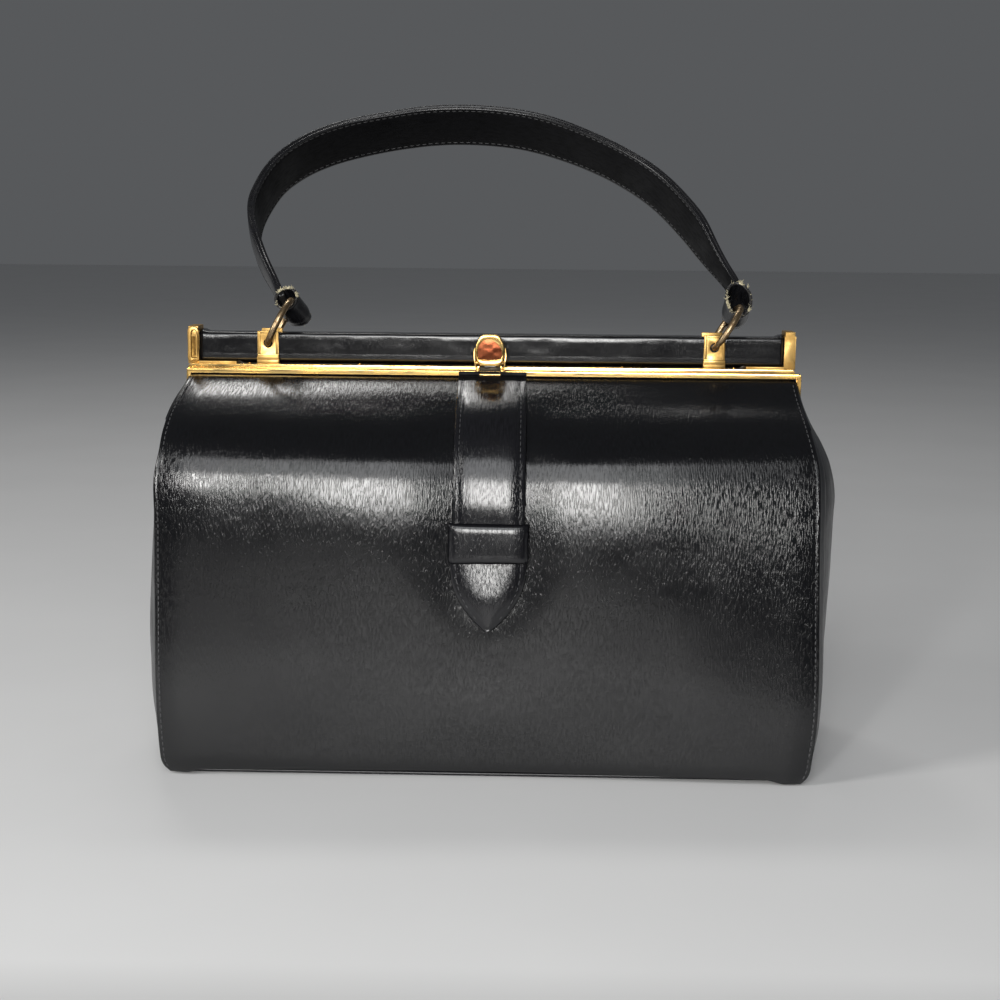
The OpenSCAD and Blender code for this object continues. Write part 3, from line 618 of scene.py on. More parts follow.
# ------------------------------------------------------------------ gussets
B_RIGHT = [(0.0, 9.6), (6.0, 10.4), (13.0, 10.8), (32.0, 11.0), (72.0, 11.9), (121.0, 14.9), (131.0, 13.8), (140.0, 11.4),
           (147.0, 8.7), (151.0, 7.1), (157.0, 4.5), (164.0, 2.4), (170.0, 1.6), (176.0, 1.0)]
B_LEFT = [(0.0, 9.6), (6.0, 11.0), (19.0, 13.0), (35.0, 14.6), (67.0, 14.4), (90.0, 12.8), (110.0, 11.2), (125.0, 9.4), (140.0, 6.8),
          (150.0, 4.6), (157.0, 3.4), (164.0, 2.4), (170.0, 1.6), (176.0, 1.0)]
ZH = 118.0


def gusset_rows(side, half):
    """Half of a gusset, from the seam to the middle. side is -1 or 1, half is 'front' or 'rear'."""
    fn = front_base if half == "front" else rear_base
    sy = -1.0 if half == "front" else 1.0
    B = B_LEFT if side < 0 else B_RIGHT
    rows, uvs = [], []
    NU = 26
    for t in t_rows(2.0, NP, 0.125):
        e = fn(side * 1.0, t)
        z = e.z
        yf = abs(e.y) - 1.7
        xe = abs(e.x)
        b = slook(B, z)
        cleft = smooth01((z - 92.0) / 34.0)
        line, luv = [], []
        # out from behind the panel's edge and round to the middle
        yf -= 1.0
        pts = []
        for k in range(NU + 1):
            u = 1 - k / NU
            y = yf * u
            # a soft ridge in the middle, from which the leather falls back to both seams
            f = 1.0 - (math.sqrt(u * u + 0.03) - math.sqrt(0.03)) / (math.sqrt(1.03) - math.sqrt(0.03))
            # a soft roll beside the seam and a pleat that runs along it
            f += (0.10 if side > 0 else 0.04) * math.exp(-((u - 0.86) / 0.07) ** 2) * smooth01(z / 30.0)
            f -= (0.05 if side > 0 else 0.03) * math.exp(-((u - 0.70) / 0.05) ** 2) * smooth01(z / 30.0)
            f += 0.03 * math.exp(-((u - 0.45) / 0.12) ** 2)
            x = b * f
            # above the hinge the leather turns in to the frame's arm
            near = 1 - smooth01(y / (7.0 + 3.0 * (1 - cleft)))
            arm = 144.9 - (2.7 * max(0.0, min(1.0, (z - 128.0) / 52.0)) if side < 0 else 0.0)
            x = lerp(x, arm - xe, near * cleft)
            wob = 0.7 * nz(z * 0.03, y * 0.05, 5.0 + side) * smooth01((1 - u) * 4) * smooth01(z / 20.0)
            pts.append((x + wob * (1 - near * cleft), max(y, 0.35 * cleft + 0.02)))
        vacc = 0.0
        prev = None
        nfn = front_normal if half == "front" else rear_normal
        for d in (6.5, 3.4, 1.2):
            uu = side * (1 - d / 147.0)
            q = fn(uu, t) - nfn(uu, t) * (2.75 if d > 2 else 2.6)
            line.append(tuple(q))
            luv.append((-d * MM + (0.9 if side > 0 else 0.6), -z * MM))
        for k, (dx, y) in enumerate(pts):
            p = Vector((side * (xe + dx), sy * y, z))
            if prev is not None:
                vacc += (p - prev).length
            prev = p
            line.append(tuple(p))
            luv.append((vacc * MM + (0.9 if side > 0 else 0.6), -z * MM))
        rows.append(line)
        uvs.append(luv)
    # turn the lowest rows in under the base
    last = rows[-1]
    luv = uvs[-1]
    for drop, pull in ((1.0, 1.6), (0.45, 4.2), (0.2, 9.0), (0.15, 15.0)):
        z0 = 0.55 * drop
        line = []
        for p in last:
            out = abs(p[0]) - 143.0
            x = 143.0 + max(-0.5, out - pull) if out > 0 else abs(p[0])
            line.append((side * x, p[1] * (1 - 0.004 * pull), min(p[2], z0 + 0.25)))
        rows.append(line)
        uvs.append([(a, b + 0.002 * pull) for a, b in luv])
    return rows, uvs


for side, nm in ((-1, "left"), (1, "right")):
    for half in ("front", "rear"):
        rows, uvs = gusset_rows(side, half)
        flip = (side > 0) == (half == "front")
        nr = grid_normals(rows)
        # the inner face lies towards the bag's middle
        def inward(i, j, nr=nr, side=side, rows=rows):
            n = nr[i][j]
            out = Vector((side, 0.0, 0.0)) if rows[i][j][2] > 2 else Vector((side * 0.2, 0.0, -1.0))
            return n if n.dot(out) < 0 else -n
        g = thick_sheet(f"{nm}_gusset_{half}_leather", rows, uvs, 1.2, [M_GUSSET, M_EDGE], inward, 1)
        bm = bmesh.new()
        bm.from_mesh(g.data)
        bmesh.ops.recalc_face_normals(bm, faces=bm.faces)
        bm.to_mesh(g.data)
        bm.free()
        if half == "front":
            bend(g)
        else:
            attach(g, "bag")
            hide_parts(f"{nm}_gusset")

# ------------------------------------------------------------------ base
def base_sheet(name, hx, hy, z_at, thick, mat, node, nx=40, ny=18):
    rows, uvs = [], []
    for i in range(ny + 1):
        v = -1 + 2 * i / ny
        line, luv = [], []
        for j in range(nx + 1):
            u = -1 + 2 * j / nx
            x, y = u * hx, v * hy
            line.append((x, y, z_at(x, y)))
            luv.append((x * MM, y * MM))
        rows.append(line)
        uvs.append(luv)
    ob = thick_sheet(name, rows, uvs, thick, mat, lambda i, j: Vector((0, 0, 1)))
    bm = bmesh.new()
    bm.from_mesh(ob.data)
    bmesh.ops.recalc_face_normals(bm, faces=bm.faces)
    bm.to_mesh(ob.data)
    bm.free()
    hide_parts(node)
    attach(ob, "bag")
    return ob


base_leather = base_sheet("base_leather", 143.0, 52.4, lambda x, y: 0.25 * smooth01((abs(y) - 46) / 8) + 0.15 * smooth01((abs(x) - 132) / 12)
                          + 0.06 * abs(nz(x * 0.03, y * 0.05, 2.0)), 1.5, [M_GUSSET], "base_panel")

# ------------------------------------------------------------------ linings and stiffeners
def wall_copy(name, fn, nfn, t0, t1, umax, inset_fn, thick, mats, node, mover, rear=False, step=0.25, ncol=44):
    ts = t_rows(t0, t1, step)
    us = [lerp(-umax, umax, k / ncol) for k in range(ncol + 1)]
    if rear:
        us = us[::-1]
    rows, uvs, nn = [], [], []
    for t in ts:
        line, luv, ln = [], [], []
        for u in us:
            n = nfn(u, t)
            p = fn(u, t) - n * inset_fn(u, t)
            line.append(tuple(p))
            ln.append(n)
            luv.append((u * 0.147, -p.z * MM))
        rows.append(line)
        uvs.append(luv)
        nn.append(ln)
    ob = thick_sheet(name, rows, uvs, thick, mats, lambda i, j: -nn[i][j])
    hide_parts(node)
    mover(ob)
    return ob


ride_bag = lambda ob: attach(ob, "bag")
fp = lambda u, t: front_point(u, t)
rp = lambda u, t: rear_point(u, t)
wall_copy("front_wall_stiffener", fp, front_normal, 3.2, NP - 0.9, 0.93, lambda u, t: 1.62, 1.1, [M_CARD], "front_board", bend)
wall_copy("rear_wall_stiffener", rp, rear_normal, 3.2, NP - 0.9, 0.93, lambda u, t: 1.62, 1.1, [M_CARD], "rear_board", ride_bag, rear=True)
lin_in = lambda u, t: 1.6 + 1.2 * smooth01((t - 1.2) / 2.0) + 0.25 * (0.5 + 0.5 * nz(u * 9, t * 0.9, 1.0))
front_lin = wall_copy("front_wall_lining", fp, front_normal, 0.35, NP - 0.35, 0.957, lin_in, 0.5, [M_LINING], "front_lining", bend, ncol=60)
rear_lin = wall_copy("rear_wall_lining", rp, rear_normal, 0.35, NP - 0.35, 0.957, lin_in, 0.5, [M_LINING], "rear_lining", ride_bag, rear=True, ncol=60)
base_sheet("base_stiffener", 139.0, 50.0, lambda x, y: 1.85, 2.2, [M_CARD], "base_board", nx=12, ny=6)
base_lin = base_sheet("base_lining_cloth", 138.5, 50.2, lambda x, y: 4.25 + 0.25 * (0.5 + 0.5 * nz(x * 0.02, y * 0.04, 4.0)), 0.6, [M_LINING], "base_lining")

# slip pocket: a flat cloth pouch with a turned, slightly gaping top edge
PK_T0, PK_T1 = 7.0, 9.9
rows, uvs, nn = [], [], []
for t in t_rows(PK_T0, PK_T1, 0.1):
    line, luv, ln = [], [], []
    for k in range(41):
        u = lerp(0.575, -0.575, k / 40)
        f = (t - PK_T0) / (PK_T1 - PK_T0)
        gap = 3.45 + 1.3 * (1 - f) ** 2 * (1 - (u / 0.575) ** 2) + 0.35 * smooth01(1 - f * 14)
        n = rear_normal(u, t)
        p = rear_point(u, t) - n * gap
        line.append(tuple(p))
        ln.append(n)
        luv.append((u * 0.147, -p.z * MM))
    rows.append(line)
    uvs.append(luv)
    nn.append(ln)
pocket = thick_sheet("slip_pocket", rows, uvs, 0.7, [M_POCKET], lambda i, j: -nn[i][j])
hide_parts("inner_pocket")
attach(pocket, "bag")

# gusset linings: two halves; the rear one rides with the bag, the front one is baked in place
for side, nm in ((-1, "left"), (1, "right")):
    for half in ("front", "rear"):
        fn = front_base if half == "front" else rear_base
        sy = -1.0 if half == "front" else 1.0
        rows, uvs = [], []
        for t in t_rows(2.6, NP - 0.5, 0.25):
            e = fn(side * 1.0, t)
            z = e.z
            yf = abs(e.y) - 3.6
            base = min(139.0, abs(e.x) - 8.0)
            b = 9.0 * smooth01((100 - z) / 60.0)
            line, luv = [], []
            for k in range(17):
                u = 1 - k / 16
                x = base + b * (1 - u ** 2.2) - 1.6 * math.exp(-(u / 0.15) ** 2) * smooth01((112 - z) / 30.0)
                line.append((side * x, sy * max(yf * u, 0.12), z))
                luv.append((sy * yf * u * MM + 0.3, -z * MM))
            rows.append(line)
            uvs.append(luv)
        gl = thick_sheet(f"{nm}_gusset_lining_{half}", rows, uvs, 0.5, [M_LINING], lambda i, j, s=side: Vector((-s, 0, 0)))
        bm = bmesh.new()
        bm.from_mesh(gl.data)
        bmesh.ops.recalc_face_normals(bm, faces=bm.faces)
        bm.to_mesh(gl.data)
        bm.free()
        if half == "front":
            bend(gl)
        else:
            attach(gl, "bag")
            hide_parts(f"{nm}_gusset_lining")

# ------------------------------------------------------------------ belt
TIP_Z = 69.0


def t_at_z(z, u=0.0):
    lo, hi = 0.0, float(NP)
    for _ in range(40):
        mid = (lo + hi) / 2
        if profile(u, mid)[1] > z:
            lo = mid
        else:
            hi = mid
    return (lo + hi) / 2


def belt_lift(z):
    """Height of the belt's own surface over the panel, at its edge."""
    return 1.15 + 0.45 * smooth01((172 - z) / 20.0)


def belt_surface(s, z, half):
    """Point of the belt's outer face. s runs from -1 to 1 across it."""
    x = BELT_X + s * half
    # a little narrower in the middle of its length, as it is pulled through the keeper
    u = x / slook(HALF_W, z)
    t = t_at_z(z, u)
    a = abs(s)
    crown = (1 - a ** 2.6) ** 0.8 if a < 1 else 0.0
    pad = 3.6 * smooth01((178 - z) / 22.0) * (0.35 + 0.65 * smooth01((z - 60) / 26.0))
    groove = -0.35 * math.exp(-(((1 - a) * half - 2.6) / 0.6) ** 2)
    # the belt is cinched by the keeper
    cinch = 1 - 0.22 * math.exp(-((z - 108.5) / 12.0) ** 2)
    h = belt_lift(z) + pad * crown * cinch + groove
    if z > 174:
        h = max(0.9, h)
    p = front_base(u, t)
    n = front_normal(u, t)
    return p + n * (relief(u, t, p.x, p.z) + h), n


BELT_W = [(69.0, 0.0), (70.0, 2.0), (73.0, 5.6), (78.0, 9.9), (84.0, 13.6), (89.0, 15.6), (94.0, 16.6), (99.0, 16.9), (108.0, 16.5),
          (118.0, 16.1), (150.0, 16.1), (168.0, 15.9), (180.0, 15.7)]
zs = []
z = TIP_Z + 0.4
while z < 180.0:
    zs.append(z)
    z += 0.5 if z < 74 else (1.3 if z < 100 else (2.2 if z < 165 else 1.0))
zs.append(180.2)
SS = [-1, -0.985, -0.95, -0.9, -0.85, -0.8, -0.7, -0.58, -0.45, -0.3, -0.15, 0, 0.15, 0.3, 0.45, 0.58, 0.7, 0.8, 0.85, 0.9, 0.95, 0.985, 1]
rows, uvs, nn = [], [], []
for z in reversed(zs):
    half = slook(BELT_W, z)
    line, luv, ln = [], [], []
    for s in SS:
        if z > 178.3:
            # over the rail's face, straight up to the clasp's base
            x = BELT_X + s * half
            p = Vector((x, -5.3 - 0.2 * (1 - abs(s) ** 3) - 0.3 * ((180.2 - z) / 1.9) ** 2, z))
            n = Vector((0, -1, 0))
        else:
            p, n = belt_surface(s, z, half)
            if z > 172:
                # run up in front of the rail
                k = smooth01((z - 172) / 6.3)
                q = Vector((p.x, -5.35 - 0.2 * (1 - abs(s) ** 3) - 0.3 - 5.0 * (1 - smooth01((z - 172.5) / 5.8)), z))
                p = p.lerp(Vector((p.x, min(p.y, q.y), p.z)), k)
        line.append(tuple(p))
        ln.append(n)
        luv.append(((BELT_X + s * half) * MM + 0.05, -z * MM * 1.1))
    rows.append(line)
    uvs.append(luv)
    nn.append(ln)
belt = thick_sheet("padded_front_belt", rows, uvs, 1.05, [M_BELT, M_EDGE], lambda i, j: -nn[i][j], 1)
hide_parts("front_belt")
bend(belt)
# faces above z = 176.5 mm, the belt's top under the clasp, take the darker dull leather as painted shade
belt.data.materials.append(M_SHADE_LEATHER)
for face in belt.data.polygons:
    if face.center.z > 0.1765:
        face.material_index = 2
for side, nm in ((-1, "left"), (1, "right")):
    path, pn = [], []
    for z in reversed([z for z in zs if 74 < z < 177]):
        half = slook(BELT_W, z)
        s = side * (1 - 2.4 / half)
        p, n = belt_surface(s, z, half)
        path.append(p)
        pn.append(n)
    st = stitches(f"belt_stitches_{nm}", path, pn, pitch=3.0, length=2.1, r=0.17, sink=0.12)
    bend(st)

# felt inside the belt
rows, uvs = [], []
pz = [76 + 2.5 * k for k in range(37)]
for z in reversed(pz):
    half = max(1.0, slook(BELT_W, z) - 4.0)
    line, luv = [], []
    for k in range(13):
        s = -1 + k / 6
        x = BELT_X + s * half
        u = x / slook(HALF_W, z)
        t = t_at_z(z, u)
        p, n = belt_surface(s * half / slook(BELT_W, z), z, slook(BELT_W, z))
        q = p - n * 1.25
        line.append(tuple(q))
        luv.append((x * MM, z * MM))
    rows.append(line)
    uvs.append(luv)
felt = thick_sheet("belt_felt_filling", rows, uvs, 1.2, [M_FELT], lambda i, j: Vector((0, 1, 0)))
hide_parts("belt_padding")
bend(felt)

# keeper: a band of doubled leather that wraps round the belt and goes in behind its edges
KZ0, KZ1 = 99.8, 117.6
rows, uvs = [], []
nk = 46
for i in range(13):
    f = i / 12
    line, luv = [], []
    for k in range(nk + 1):
        a = -1 + 2 * k / nk
        half = 17.9
        x = BELT_X + a * half
        zz = lerp(KZ1, KZ0, f) + 0.25 * a * (1 if f > 0.5 else -0.4)
        aa = min(1.0, abs(a))
        u = x / slook(HALF_W, zz)
        t = t_at_z(zz, u)
        n = front_normal(u, t)
        # height over the belt in the middle, down to the panel at the ends
        over = belt_lift(zz) + 3.6 * 0.78 * (1 - min(1.0, aa * 1.06) ** 2.6) ** 0.8 + 0.55 if aa < 0.94 else 1.7
        endk = smooth01((aa - 0.88) / 0.12)
        over = lerp(over, 0.55, endk ** 1.4)
        edge = 1 - 0.22 * (math.exp(-(f / 0.05) ** 2) + math.exp(-((1 - f) / 0.05) ** 2))
        grooves = -0.22 * (math.exp(-((f - 0.1) / 0.028) ** 2) + math.exp(-((f - 0.9) / 0.028) ** 2))
        p = front_base(u, t) + n * (relief(u, t, x, zz) + (over + 1.25) * edge + grooves)
        line.append(tuple(p))
        luv.append((x * MM + 0.2, zz * MM))
    rows.append(line)
    uvs.append(luv)
nrk = grid_normals(rows)
keeper = thick_sheet("belt_keeper_band", rows, uvs, 1.1, [M_BELT, M_EDGE],
                     lambda i, j: nrk[i][j] if nrk[i][j].y > 0 else -nrk[i][j], 1)
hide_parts("belt_keeper")
bend(keeper)

# ------------------------------------------------------------------ top bar cover
BX = 136.9
BY0, BY1, BZ0, BZ1 = 2.4, 13.4, 183.3, 196.8


def bar_ring(x, grow=0.0):
    """Rounded section of the covered bar at x, as points in (y, z)."""
    cy, cz = (BY0 + BY1) / 2, (BZ0 + BZ1) / 2
    hy, hz = (BY1 - BY0) / 2 + grow, (BZ1 - BZ0) / 2 + grow
    r = 1.7
    pts = []
    for q, (sy, sz) in enumerate(((-1, -1), (1, -1), (1, 1), (-1, 1))):
        a0 = math.pi + q * math.pi / 2
        for k in range(6):
            a = a0 + k * math.pi / 10
            pts.append((cy + sy * (hy - r) + r * math.cos(a), cz + sz * (hz - r) + r * math.sin(a)))
        # soft middle of each face
        nq = [(1, -1), (1, 1), (-1, 1), (-1, -1)][q]
        a1 = pts[-1]
        b1 = (cy + nq[0] * (hy - r) + r * math.cos(a0 + math.pi / 2), cz + nq[1] * (hz - r) + r * math.sin(a0 + math.pi / 2))
        for k in range(1, 5):
            f = k / 5
            pts.append((lerp(a1[0], b1[0], f), lerp(a1[1], b1[1], f)))
    return pts


xs = [lerp(-BX, BX, k / 150) for k in range(151)]
verts, uvs = [], []
per = None
for x in xs:
    ring = bar_ring(x)
    acc = 0.0
    for k, (y, z) in enumerate(ring):
        d = Vector((0, y - 7.9, z - 190.1))
        dn = d.normalized()
        w = 0.10 * nz(x * 0.07, k * 0.35, 6.0) + 0.07 * nz(x * 0.3, k * 0.5, 9.0)
        near = min(abs(abs(x) - 104.5) / 6.0, 1.0)
        # a turned seam fills the space between the bar and the frame's shelf, away from the caps' feet
        low = smooth01((188 - z) / 4.0) * smooth01((y - 4.2) / 1.2) * smooth01((118.6 - abs(x)) / 1.0)
        # the folded leather ends stand up a little by the caps
        tuck = 1.1 * smooth01((z - 195.5) / 1.0) * smooth01((abs(x) - 134.3) / 1.2) * smooth01((y - 3.0) / 2.0)
        verts.append((x, y + dn.y * (w * near - 0.02), z + dn.z * (w * near - 0.02) - 1.1 * low + tuck))
        if k:
            acc += math.hypot(ring[k][0] - ring[k - 1][0], ring[k][1] - ring[k - 1][1])
        uvs.append((x * MM, acc * MM))
nc = len(bar_ring(0))
faces = grid_faces(len(xs), nc, close=True)
faces.append(list(range(nc))[::-1])
faces.append([(len(xs) - 1) * nc + k for k in range(nc)])
bar = mesh_obj("bar_leather_wrap", verts, faces, M_BAR, uvs)
bm = bmesh.new()
bm.from_mesh(bar.data)
bmesh.ops.recalc_face_normals(bm, faces=bm.faces)
bm.to_mesh(bar.data)
bm.free()
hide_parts("bar_cover", "bar_core")
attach(bar, "bag")

# ------------------------------------------------------------------ handle
RY, SZ, LEAN = 7.9, 199.97, math.radians(46)
ARCH = [(-99.5, 13), (-104.5, 25), (-112, 41), (-118.5, 60), (-118.5, 79), (-109, 104), (-88, 123), (-54, 135.5), (-20, 140.5), (16, 136),
        (49, 120.5), (77, 98), (96.5, 70), (108.5, 43), (115.0, 28.5), (116.3, 23.4)]
N_PLANE = Vector((0, math.cos(LEAN), -math.sin(LEAN)))
H_PLANE = Vector((0, math.sin(LEAN), math.cos(LEAN)))
X_AX = Vector((1, 0, 0))
LEFT_AT = (-104.5 + 16.2 * math.sin(math.radians(27)), 10.8)
RIGHT_AT = (104.5 + 16.5 * math.sin(math.radians(33)), 9.8)


def hp(x, h, w=0.0):
    """Point of the handle: x, height in its plane, and distance across the strap (positive is up and back)."""
    return Vector((x, RY, SZ)) + H_PLANE * h + N_PLANE * w


NA = len(ARCH) - 1
ta = [k / 8 for k in range(NA * 8 + 1)]
line = [catmull(ARCH, t) for t in ta]
arc = [0.0]
for a, b in zip(line, line[1:]):
    arc.append(arc[-1] + math.hypot(b[0] - a[0], b[1] - a[1]))
TOT = arc[-1]
# section: (across the strap, offset outward); the strap is two leathers round a filler, sewn near its edges, with a
# parting line along each edge
_H = [(0.962, 0.0), (0.975, 0.14), (1.0, 0.32), (1.004, 0.55), (0.995, 0.78), (0.97, 0.93), (0.93, 0.97), (0.885, 0.92), (0.85, 0.78), (0.815, 0.90),
      (0.72, 1.06), (0.5, 1.20), (0.25, 1.28), (0.0, 1.30)]
SEC = ([(-w, o) for w, o in _H[1:]] + [(w, o) for w, o in reversed(_H[:-1])]
       + [(w, -o * (1.0 if w > 0.8 else 0.92)) for w, o in _H[1:]] + [(-w, -o * (1.0 if w > 0.8 else 0.92)) for w, o in reversed(_H[:-1])])
def strap_half(s):
    """Half width of the strap at arc length s."""
    e = min(s, TOT - s)
    return lerp(6.3, 12.5, smooth01((e - 4.0) / 42.0))


def strap_frame(i):
    a = line[max(i - 1, 0)]
    b = line[min(i + 1, len(line) - 1)]
    tx, th = b[0] - a[0], b[1] - a[1]
    L = math.hypot(tx, th)
    tx, th = tx / L, th / L
    # outward is away from the arch's middle
    return (tx, th), (-th, tx)


verts, uvs = [], []
for i, (x, h) in enumerate(line):
    (tx, th), (nx, nh) = strap_frame(i)
    s = arc[i]
    half = strap_half(s)
    e = min(s, TOT - s)
    th_k = 1.55 + 0.35 * smooth01((e - 10) / 40.0)
    # gentle warping of an old strap
    tw = 0.05 * nz(s * 0.02, 0.3, 1.0)
    for (w, o) in SEC:
        o2 = o * th_k + tw * w * half + 0.12 * nz(s * 0.06, w * 1.4, 4.0)
        ww = w * half * (1 + 0.012 * nz(s * 0.09, 2.0, 7.0))
        p = hp(x + nx * o2, h + nh * o2, ww)
        verts.append(tuple(p))
        uvs.append((ww * MM, s * MM))
ns = len(SEC)
faces = grid_faces(len(line), ns, close=True)
faces.append(list(range(ns))[::-1])
faces.append([(len(line) - 1) * ns + k for k in range(ns)])
# the strap's inner face takes the darker dull leather as painted shade
ids = []
for i in range(len(line) - 1):
    for j in range(ns):
        ids.append(2 if SEC[j][1] < -0.7 and abs(SEC[j][0]) < 0.9 else 0)
ids += [1, 1]
strap = mesh_obj("handle_strap", verts, faces, [M_STRAP, M_EDGE, M_SHADE_LEATHER], uvs, ids)
bm = bmesh.new()
bm.from_mesh(strap.data)
bmesh.ops.recalc_face_normals(bm, faces=bm.faces)
bm.to_mesh(strap.data)
bm.free()
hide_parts("handle_outer", "handle_core", "handle_inner")
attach(strap, "handle")
for face, nm in ((1, "outer"), (-1, "inner")):
    for side, sn in ((-1, "front"), (1, "rear")):
        path, pn = [], []
        for i, (x, h) in enumerate(line):
            s = arc[i]
            if s < 10 or s > TOT - 10:
                continue
            (tx, th), (nx, nh) = strap_frame(i)
            e = min(s, TOT - s)
            th_k = 1.55 + 0.35 * smooth01((e - 10) / 40.0)
            o = face * 0.78 * th_k + 0.05 * nz(s * 0.02, 0.3, 1.0) * side * 0.85 * strap_half(s) + 0.12 * nz(s * 0.06, side * 0.85 * 1.4, 4.0)
            path.append(hp(x + nx * o, h + nh * o, side * 0.85 * strap_half(s)))
            pn.append((X_AX * nx + H_PLANE * nh) * face)
        st = stitches(f"handle_stitches_{nm}_{sn}", path, pn, pitch=3.3, length=2.5, r=0.24)
        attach(st, "handle")

# ------------------------------------------------------------------ end loops of the handle
def loop(name, at, node, seed, rx, rh, swing, clusters):
    """Tube of leather round the ring. rx and rh are its half width and half height at the front and the rear end, swing is how
    far its rear end lies to the side, and clusters are the angles where its front rim is frayed most."""
    rnd = random.Random(seed)
    na, nl = 56, 15
    ri, ro = 4.5, 5.5
    half = 6.6
    verts, uvs, faces = [], [], []

    def pt(a, r, w):
        c, s = math.cos(a), math.sin(a)
        f = (w + half) / (2 * half)
        off = r - ro
        ax, ah = lerp(rx[0], rx[1], f) + off, lerp(rh[0], rh[1], f) + off
        # the rear end closes a little
        shut = 1 - 0.16 * smooth01((f - 0.72) / 0.3)
        cx = c * ax * shut * (1 + 0.05 * s)
        return hp(at[0] + swing * f + cx, at[1] + s * ah * shut, w)

    def frayed(a):
        return max(math.exp(-((math.atan2(math.sin(a - b), math.cos(a - b))) / wd) ** 2) for b, wd in clusters)

    # outer face, front rim, inner face, rear rim as one closed tube wall
    path = []
    for k in range(nl):
        path.append((ro, lerp(-half, half, k / (nl - 1))))
    path += [(ro - 0.3, half + 0.25), (ri + 0.3, half + 0.25)]
    for k in range(nl):
        path.append((ri, lerp(half, -half, k / (nl - 1))))
    path += [(ri + 0.3, -half - 0.25), (ro - 0.3, -half - 0.25)]
    for q, (r, w) in enumerate(path):
        for k in range(na):
            a = 2 * math.pi * k / na
            endk = smooth01((abs(w) - half + 2.2) / 2.4)
            rag = endk * (0.55 * nz(math.cos(a) * 2.1 + seed, math.sin(a) * 2.1, w * 0.2) + 0.25 * nz(math.cos(a) * 6 + seed, math.sin(a) * 6, 3.0))
            rr = r + (0.35 * endk if r > 5 else -0.05 * endk) + 0.16 * nz(math.cos(a) * 1.3, math.sin(a) * 1.3, w * 0.15 + seed)
            rr = max(rr, ri - 0.15)
            verts.append(tuple(pt(a, rr, w + (rag if abs(w) > half - 2 else 0) * (1 if w > 0 else -1))))
            uvs.append((a * 5 * MM, w * MM))
    nq = len(path)
    ids = []
    for q in range(nq):
        for k in range(na):
            b0, b1 = q * na, ((q + 1) % nq) * na
            faces.append([b0 + k, b0 + (k + 1) % na, b1 + (k + 1) % na, b1 + k])
            rim = nl - 1 <= q <= nl + 1 or q >= 2 * nl + 1
            a = 2 * math.pi * k / na
            worn = frayed(a) + 0.35 * nz(a * 4.0, seed, 2.0) > (0.42 if q < 2 * nl else 0.75)
            ids.append((1 if worn else 2) if rim else 0)
    ob = mesh_obj(name, verts, faces, [M_STRAP, M_FRAY, M_EDGE], uvs, ids)
    bm = bmesh.new()
    bm.from_mesh(ob.data)
    bmesh.ops.recalc_face_normals(bm, faces=bm.faces)
    bm.to_mesh(ob.data)
    bm.free()
    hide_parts(node)
    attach(ob, "handle")
    # loose fibres and flakes at the frayed rims
    fv, ff = [], []
    for end in (-1, 1):
        for k in range(230 if end < 0 else 60):
            a = rnd.uniform(0, 2 * math.pi)
            if rnd.random() > frayed(a) + 0.08:
                continue
            r0 = rnd.uniform(ri + 0.15, ro + 0.1)
            base = pt(a, r0, end * (half + 0.1))
            out = (pt(a, r0 + 1, end * half) - pt(a, r0, end * half)).normalized()
            d = (N_PLANE * end * rnd.uniform(0.3, 1.0) + out * rnd.uniform(-0.2, 0.9) + Vector((rnd.uniform(-0.5, 0.5), rnd.uniform(-0.5, 0.5), rnd.uniform(-0.5, 0.5)))).normalized()
            ln = rnd.uniform(0.5, 1.5)
            side = d.cross(out)
            side = side.normalized() if side.length > 1e-4 else X_AX
            curl = Vector((rnd.uniform(-1, 1), rnd.uniform(-1, 1), rnd.uniform(-1, 1))) * 0.4
            wd = rnd.uniform(0.1, 0.38)
            up = side.cross(d).normalized()
            i0 = len(fv)
            for q in range(4):
                f = q / 3
                c = base + d * ln * f + curl * ln * f * f
                w = wd * (1 - 0.75 * f)
                for (aa, bb) in ((1, 0), (0, 0.8), (-1, 0), (0, -0.8)):
                    fv.append(tuple(c + side * aa * w + up * bb * w))
            for q in range(3):
                for j in range(4):
                    ff.append([i0 + q * 4 + j, i0 + q * 4 + (j + 1) % 4, i0 + (q + 1) * 4 + (j + 1) % 4, i0 + (q + 1) * 4 + j])
            ff.append([i0 + 3, i0 + 2, i0 + 1, i0])
            ff.append([i0 + 12, i0 + 13, i0 + 14, i0 + 15])
    fb = mesh_obj(name + "_frayed_fibres", fv, ff, M_FRAY)
    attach(fb, "handle")
    return ob


loop("left_end_loop", LEFT_AT, "left_loop", 3, (5.3, 7.0), (7.0, 6.6), 4.3, [(2.2, 0.45), (1.5, 0.3), (0.35, 0.35)])
loop("right_end_loop", (RIGHT_AT[0] + 3.0, RIGHT_AT[1] + 3.4), "right_loop", 8, (6.0, 6.4), (11.0, 8.0), -1.0,
     [(3.4, 0.5), (4.35, 0.35), (1.25, 0.3), (5.6, 0.2)])

# ------------------------------------------------------------------ metal pieces
def polar(outline, n, c=(0.0, 0.0)):
    """The closed outline sampled at n even angles about c."""
    out = []
    for k in range(n):
        a = 2 * math.pi * (k + 0.5) / n
        dx, dz = math.cos(a), math.sin(a)
        best = 0.0
        for (x0, z0), (x1, z1) in zip(outline, outline[1:] + outline[:1]):
            ex, ez = x1 - x0, z1 - z0
            den = dx * ez - dz * ex
            if abs(den) < 1e-12:
                continue
            t = ((x0 - c[0]) * ez - (z0 - c[1]) * ex) / den
            q = ((x0 - c[0]) * dz - (z0 - c[1]) * dx) / den
            if -1e-9 <= q <= 1 + 1e-9 and t > best:
                best = t
        out.append((c[0] + dx * best, c[1] + dz * best))
    return out


